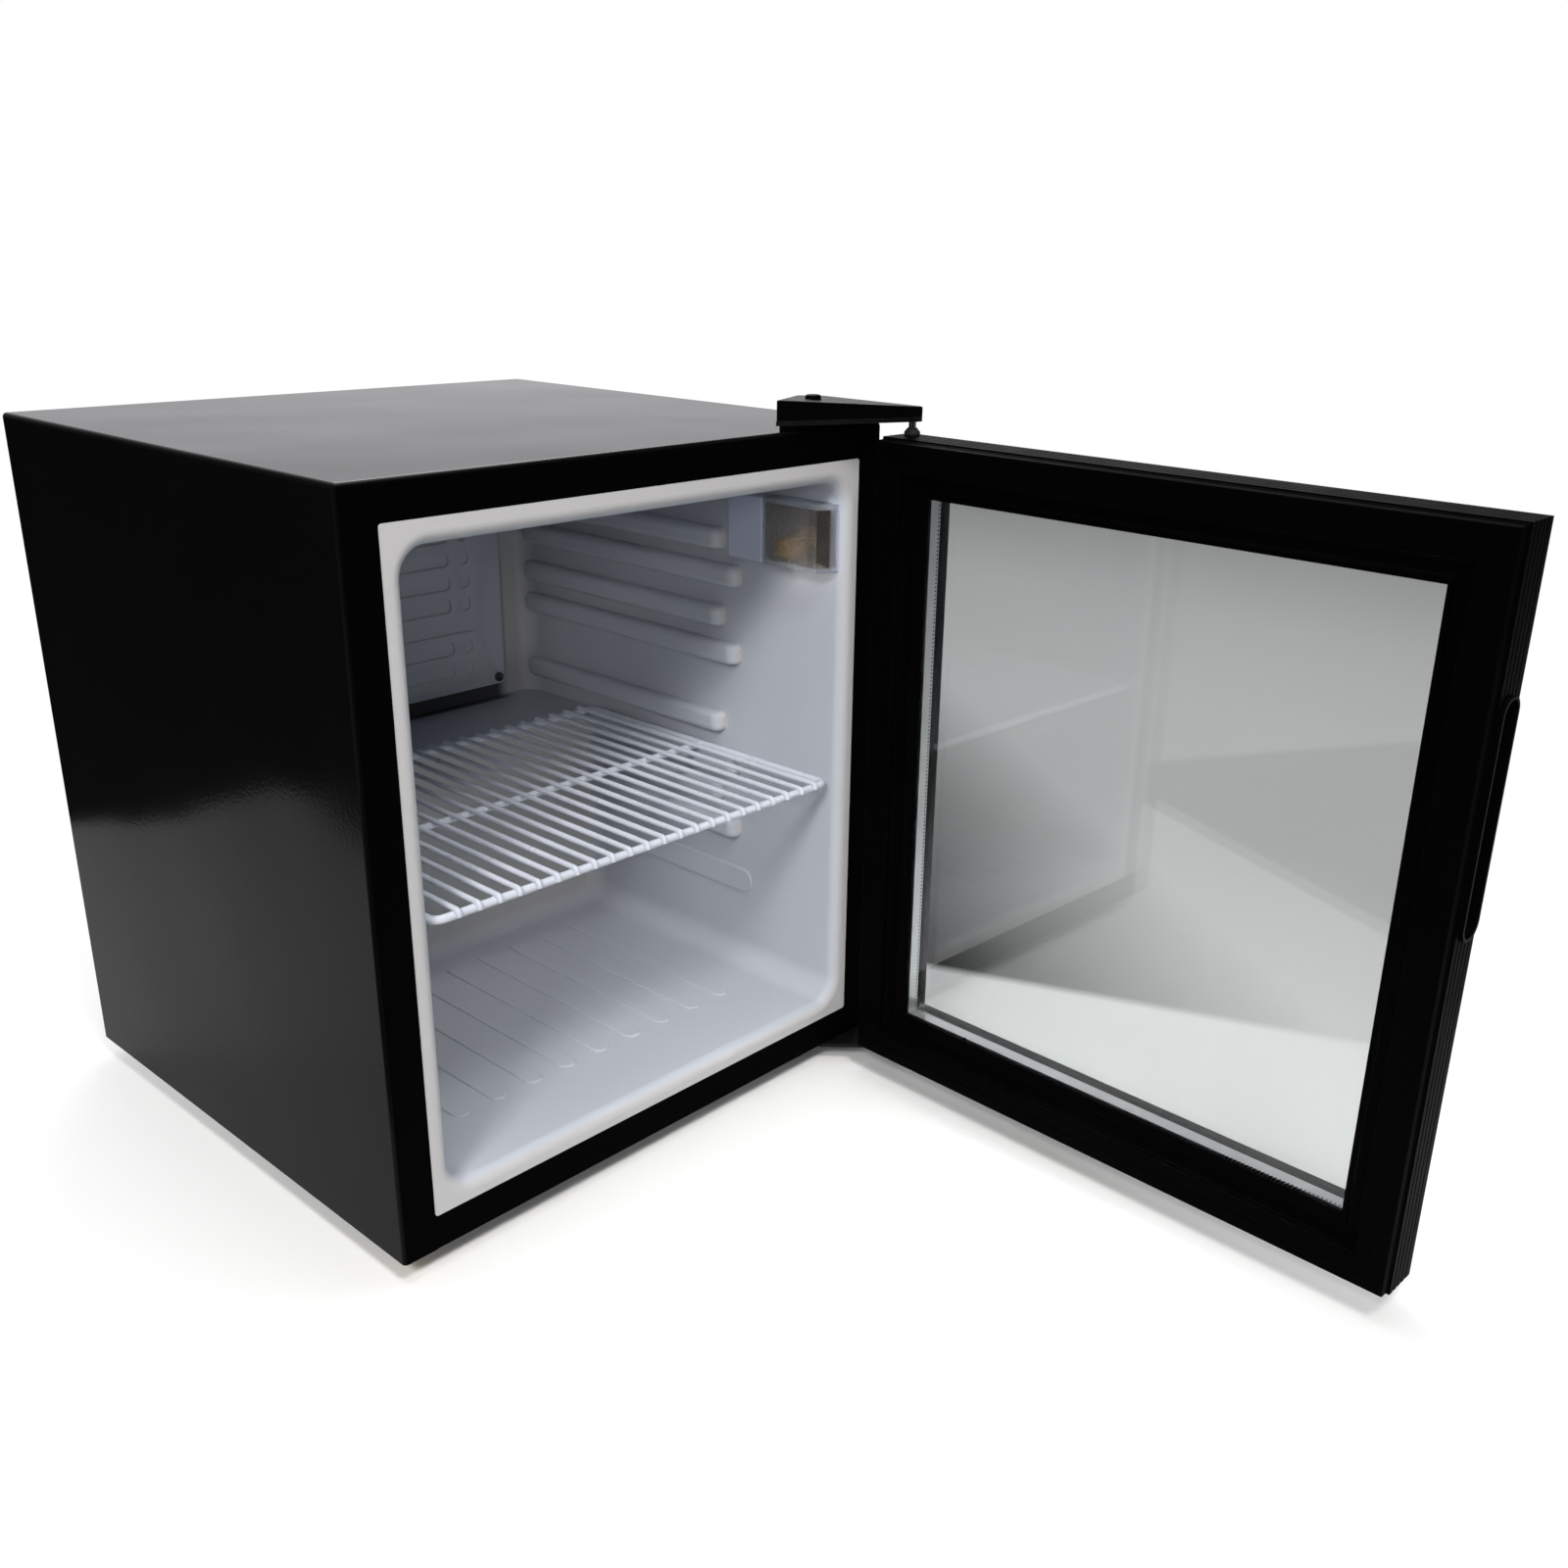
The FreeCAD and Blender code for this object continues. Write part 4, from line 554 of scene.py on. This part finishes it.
# %% Small mouldings
dress("dark_cover", finish(
    "dark_moulding", (0.014, 0.014, 0.015), (0.026, 0.026, 0.028), clean=0.42, hazy=0.55, size=40.0,
    fine=1500.0, broad=300.0, swell=0.3, depth=0.00005, dusty=0.3))
dress("pan_plastic", finish(
    "pan_moulding", (0.22, 0.23, 0.245), (0.30, 0.315, 0.33), clean=0.4, hazy=0.55, size=30.0, dusty=0.4))
dress("grey_tube", finish(
    "drain_moulding", (0.34, 0.35, 0.36), (0.42, 0.43, 0.44), clean=0.35, hazy=0.5, size=60.0))
dress("black_bush", finish(
    "bush_moulding", (0.010, 0.010, 0.010), (0.02, 0.02, 0.02), clean=0.3, hazy=0.42, size=90.0))
dress("dark_socket", finish(
    "socket_moulding", (0.012, 0.012, 0.012), (0.028, 0.027, 0.025), clean=0.35, hazy=0.5, size=90.0))

# %% Rubber and foam
for slot in ("mount_rubber", "inlet_rubber", "magnet_strip", "black_sealant"):
    dress(slot, finish(
        slot + "_skin", (0.006, 0.006, 0.0065), (0.013, 0.013, 0.0135), clean=0.55, hazy=0.75, size=45.0,
        fine=800.0, broad=200.0, swell=0.5, depth=0.00008, dusty=0.15))
dress("foam", finish(
    "rigid_foam", (0.55, 0.44, 0.22), (0.68, 0.57, 0.32), clean=0.8, hazy=0.95, size=60.0,
    fine=500.0, broad=120.0, swell=0.5, depth=0.0006))

# %% [markdown]
# ## Glass
# The door holds two clear panes with an aluminium spacer between them. Glass must mirror the lit
# inside of the fridge and still let light through, so the shader is real glass for what is seen and a
# thin tinted film for shadow rays. A faint swell and a trace of haze keep it from vanishing. The bulb
# is lacquered amber, so it is mostly a coloured finish, with a little light let through.

# %% Door glass and bulb
def clear(name, tint, film, clean, hazy, mirror=0.5):
    """Glass or clear plastic; film is what a shadow keeps of the light, mirror how well it reflects."""
    deeper = tuple(0.97 * c for c in tint)
    made = finish(name, deeper, tint, clean, hazy, size=3.0, speckle=0.0, marks=5.0, fine=40.0, broad=2.5,
                  swell=0.9, depth=0.00005, transmission_weight=1.0, ior=1.45, specular_ior_level=mirror)
    tree, bsdf = shader(made)
    through = node(tree, "BsdfTransparent", {"Color": film})
    passing = node(tree, "LightPath", {}).outputs["Is Shadow Ray"]
    both = node(tree, "MixShader", {0: passing, 1: bsdf.outputs[0], 2: through.outputs[0]})
    put(tree, tree.nodes["Material Output"].inputs["Surface"], both.outputs[0])
    return made


dress("door_glass", clear(
    "pane_glass", (0.962, 0.972, 0.97), film=(0.89, 0.91, 0.905), clean=0.0, hazy=0.012, mirror=0.85))
dress("amber_bulb", finish(
    "amber_glass", (0.56, 0.33, 0.02), (0.64, 0.39, 0.03), clean=0.12, hazy=0.2, size=30.0,
    transmission_weight=0.3))

# %% Spacer with a row of breathing holes along each edge
spacer_metal = finish(
    "perforated_aluminium", (0.66, 0.67, 0.68), (0.78, 0.79, 0.80), clean=0.26, hazy=0.36, size=30.0,
    metallic=1.0)
hole_colour, hole_pitch, row_inset = (0.02, 0.02, 0.02), 0.0028, 0.0016
low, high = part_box("glass_spacer")
tree, bsdf = shader(spacer_metal)
place = numbers(tree, here(tree))
across = reckon(tree, "ABSOLUTE", reckon(tree, "SUBTRACT", place[0], (low.x + high.x) / 2))
off_row = reckon(tree, "ABSOLUTE", reckon(tree, "SUBTRACT", across, (high.x - low.x) / 2 - row_inset))
run = reckon(tree, "MULTIPLY", reckon(tree, "ADD", place[1], place[2]), 2 * math.pi / hole_pitch)
in_turn = ranged(tree, reckon(tree, "SINE", run), 0.1, 0.4)
hole = reckon(tree, "MULTIPLY", ranged(tree, off_row, 0.0009, 0.0006), in_turn)
put(tree, bsdf.inputs["Base Color"], mixed(tree, hole, feed(bsdf, "Base Color"), hole_colour))
dress("spacer_bar", spacer_metal)

# %% [markdown]
# ## Modelling helpers
# A new piece starts as a primitive of the right size and is shaped in edit mode. An operator works on
# whatever is selected, and the loaded model starts selected, so every piece begins by deselecting all.
# Parts of a piece are then selected by their place, and a finished piece is handed to its body.

# %% Modelling helpers
def clear_selection():
    """Leaves edit mode and deselects everything."""
    if bpy.context.object and bpy.context.object.mode != "OBJECT":
        bpy.ops.object.mode_set(mode="OBJECT")
    bpy.ops.object.select_all(action="DESELECT")


def settle(piece, name, body, material, smooth=30):
    """Names a finished piece, fixes its place in its mesh and hands it to its body."""
    clear_selection()
    piece.select_set(True)
    bpy.context.view_layer.objects.active = piece
    bpy.ops.object.transform_apply(location=True, rotation=True, scale=True)
    bpy.ops.object.shade_smooth_by_angle(angle=math.radians(smooth))
    piece.name = name
    piece.data.name = name
    piece.data.materials.clear()
    piece.data.materials.append(material)
    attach(piece, body)
    print("piece", name, len(piece.data.polygons), "faces")


print("modelling helpers: clear_selection, settle")

# %% [markdown]
# ## The door gasket
# A fridge gasket is a soft profile welded at its four corners: a foot in the door's groove, a bellows
# that stands up, a flat magnetic face and a thin fin that hides the gap to the glass. A rectangle that
# is inset again and again, each ring lifted or lowered, draws that profile all round with true mitres.
# It is drawn for the shut door, measured from the hinge line, and then turned open as the door is.

# %% Gasket outline
hinge_line = Vector((0.208, -0.238, 0.0))
open_turn = math.radians(88.5)
door_middle, gasket_width, gasket_height = (-0.208, 0.023, 0.2525), 0.426, 0.463

clear_selection()
bpy.ops.mesh.primitive_plane_add(size=1, location=door_middle, rotation=(-math.pi / 2, 0, 0))
gasket = bpy.context.object
gasket.scale = (gasket_width, gasket_height, 1)
bpy.ops.object.transform_apply(location=True, rotation=True, scale=True)
print("gasket", gasket_width, "by", gasket_height, "m")

# %% Gasket profile
# each step: how far inwards, and how far towards the cabinet, in millimetres
profile = [
    (0.05, 1.2), (0.2, 0.7), (0.3, 0.1), (0.1, 0.8), (0.05, 3.7), (0.15, 1.2), (0.35, 0.7), (0.7, 0.3),
    (1.2, 0.05), (7.0, 0.0), (0.5, -0.35), (0.6, -0.2), (0.6, 0.2), (0.5, 0.35), (6.9, 0.0), (1.0, -0.1),
    (0.8, -0.35), (0.5, -0.7), (0.2, -0.9), (0.05, -1.5), (0.05, -1.6), (0.5, -0.9), (1.2, -0.6),
    (0.6, -0.35), (0.2, -0.6), (2.2, -0.15), (0.3, -0.3), (0.1, -0.35)]
bpy.ops.object.mode_set(mode="EDIT")
bpy.ops.mesh.select_all(action="SELECT")
for inwards, up in profile:
    bpy.ops.mesh.inset(thickness=inwards / 1000, depth=up / 1000)
bpy.ops.mesh.delete(type="FACE")
bpy.ops.mesh.select_mode(type="EDGE")
bpy.ops.mesh.select_non_manifold()
bpy.ops.mesh.bridge_edge_loops()
bpy.ops.mesh.select_all(action="SELECT")
bpy.ops.mesh.normals_make_consistent(inside=False)
bpy.ops.object.mode_set(mode="OBJECT")
gasket.location = hinge_line
gasket.rotation_euler = (0, 0, open_turn)
reach, left_up = (round(sum(step[i] for step in profile), 2) for i in (0, 1))
print("gasket profile reaches", reach, "mm inwards and ends", left_up, "mm up")

# %% Gasket in place
gasket_rubber = finish(
    "gasket_rubber", (0.0006, 0.0006, 0.0007), (0.0011, 0.0011, 0.0013), clean=0.42, hazy=0.55, size=12.0,
    fine=900.0, broad=120.0, swell=0.4, depth=0.00004, dusty=0.003, specular_ior_level=0.015)
settle(gasket, "gasket_profile", "door", gasket_rubber)
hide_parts("door_gasket")

# %% [markdown]
# ## The fluted lamp lens
# The lamp on the right wall has a clear cover whose flutes scatter the light of the bulb. A grid with
# one column per flute becomes ribbed when every second line of points is pushed in; its edges are then
# drawn back to the wall to make a cap, and Solidify gives it the wall of a moulding. Fine ridges run
# across the flutes as a bump, with darker lines painted between them as painted shade, and a plain
# frosted rim, a few millimetres wide, catches the light.

# %% Lens grid
lens_low, lens_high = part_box("lamp_lens")
slope_y, slope_x = 0.0063, 0.009
flutes = 40
front_y = lens_low.y + slope_y
pitch = (lens_high.y - front_y) / (2 * flutes)
middle = (lens_low.x, (front_y + lens_high.y) / 2, (lens_low.z + lens_high.z) / 2)

clear_selection()
bpy.ops.mesh.primitive_grid_add(x_subdivisions=1, y_subdivisions=2 * flutes, size=1, location=middle,
                                rotation=(0, -math.pi / 2, 0))
lens = bpy.context.object
lens.scale = (lens_high.z - lens_low.z, lens_high.y - front_y, 1)
bpy.ops.object.transform_apply(location=True, rotation=True, scale=True)
print("lens columns", len({round(v.co.y, 5) for v in lens.data.vertices}))

# %% Picking by place
def pick(piece, verts=None, edges=None, faces=None):
    """Selects points, edges or faces of a piece by a test on their place."""
    bpy.ops.object.mode_set(mode="OBJECT")
    mesh = piece.data
    for kind in (mesh.vertices, mesh.edges, mesh.polygons):
        for item in kind:
            item.select = False
    modes = tuple(bool(test) for test in (verts, edges, faces))
    bpy.context.tool_settings.mesh_select_mode = modes
    if verts:
        for v in mesh.vertices:
            v.select = verts(v.co)
    if edges:
        for e in mesh.edges:
            e.select = all(edges(mesh.vertices[i].co) for i in e.vertices)
    if faces:
        for f in mesh.polygons:
            f.select = faces(f)
    bpy.ops.object.mode_set(mode="EDIT")


print("helper that selects by place: pick")

# %% Flutes and cap
flute_depth, to_wall = 0.0004, 0.02
pick(lens, verts=lambda p: round((p.y - front_y) / pitch) % 2 == 1)
bpy.ops.transform.translate(value=(flute_depth, 0, 0))
pick(lens, edges=lambda p: p.y < front_y + pitch / 4)
bpy.ops.mesh.extrude_edges_move(TRANSFORM_OT_translate={"value": (slope_x, -slope_y, 0)})
bpy.ops.mesh.select_all(action="DESELECT")
bpy.ops.mesh.select_non_manifold()
bpy.ops.mesh.extrude_edges_move(TRANSFORM_OT_translate={"value": (to_wall, 0, 0)})
bpy.ops.transform.resize(value=(0, 1, 1), center_override=(lens_high.x, 0, 0))
bpy.ops.mesh.select_all(action="SELECT")
bpy.ops.mesh.normals_make_consistent(inside=False)
bpy.ops.object.mode_set(mode="OBJECT")
print("lens skin", len(lens.data.polygons), "faces")

# %% Lens wall
wall = lens.modifiers.new("wall", "SOLIDIFY")
wall.thickness = 0.0012
wall.offset = -1
bpy.ops.object.modifier_apply(modifier="wall")
print("lens with its wall", len(lens.data.polygons), "faces")

# %% Rim of the lens
clear_lens = clear("lens_plastic", (0.84, 0.79, 0.71), film=(0.68, 0.65, 0.60), clean=0.04, hazy=0.08)
rim, rim_blur, rim_colour, rim_rough = 0.0035, 0.0006, (0.90, 0.94, 1.0), 0.7
rim_y, wall_x = lens_high.y - rim, lens_low.x + slope_x - 0.0008
rim_z = (lens_high.z - lens_low.z) / 2 - rim

tree, bsdf = shader(clear_lens)
place = numbers(tree, here(tree))
off_middle = reckon(tree, "ABSOLUTE", reckon(tree, "SUBTRACT", place[2], middle[2]))
rear_rim = ranged(tree, place[1], rim_y, rim_y + rim_blur)
wall_rim = ranged(tree, place[0], wall_x, wall_x + rim_blur)
long_rim = ranged(tree, off_middle, rim_z, rim_z + rim_blur)
at_rim = reckon(tree, "MAXIMUM", rear_rim, wall_rim, long_rim)
frosted = reckon(tree, "MULTIPLY", at_rim, rim_rough)
put(tree, bsdf.inputs["Roughness"], reckon(tree, "MAXIMUM", feed(bsdf, "Roughness"), frosted))
print("lens rim", 1000 * rim, "mm wide")

# %% Ridges of the lens
ridge_pitch, ridge_depth, painted_groove_shade = 0.0014, 0.0001, (0.60, 0.54, 0.46)
bump = feed(bsdf, "Normal").node
ridges = reckon(tree, "SINE", reckon(tree, "MULTIPLY", place[2], 2 * math.pi / ridge_pitch))
in_field = reckon(tree, "MULTIPLY", ridges, reckon(tree, "SUBTRACT", 1.0, at_rim))
put(tree, bump.inputs["Height"], reckon(tree, "ADD", feed(bump, "Height"), in_field))
bump.inputs["Distance"].default_value = ridge_depth
# Painted shade: darker lines are painted between the ridges.
shaded_ridges = mixed(tree, ranged(tree, ridges, -0.3, 0.3), painted_groove_shade, feed(bsdf, "Base Color"))
put(tree, bsdf.inputs["Base Color"], mixed(tree, at_rim, shaded_ridges, rim_colour))
print("lens ridges", 1000 * ridge_pitch, "mm apart")

# %% Lens in place
settle(lens, "fluted_lens", "cabinet", clear_lens, smooth=20)
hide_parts("lamp_lens")

# %% [markdown]
# ## The cold plate
# The plate behind the upper room is two sheets of aluminium pressed together and blown open along the
# channels, so every ridge is soft. The construction model has the ridges with square edges. A copy of
# it, merged into one skin and thinned to its real faces, takes a bevel that rounds them.

# %% Soft cold plate
clear_selection()
plate = bpy.data.objects.new("cold_plate", frame["nodes"]["evaporator_plate"].data.copy())
bpy.context.collection.objects.link(plate)
plate.select_set(True)
bpy.context.view_layer.objects.active = plate
bpy.ops.mesh.customdata_custom_splitnormals_clear()
pick(plate, faces=lambda f: True)
bpy.ops.mesh.remove_doubles(threshold=0.00001)
bpy.ops.mesh.dissolve_limited(angle_limit=math.radians(1))
bpy.ops.object.mode_set(mode="OBJECT")
soft_edge = plate.modifiers.new("soft_edge", "BEVEL")
soft_edge.width = 0.0009
soft_edge.segments = 3
soft_edge.limit_method = "ANGLE"
soft_edge.angle_limit = math.radians(40)
bpy.ops.object.modifier_apply(modifier="soft_edge")
settle(plate, "cold_plate", "cabinet", white_coat, smooth=40)
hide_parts("evaporator_plate")
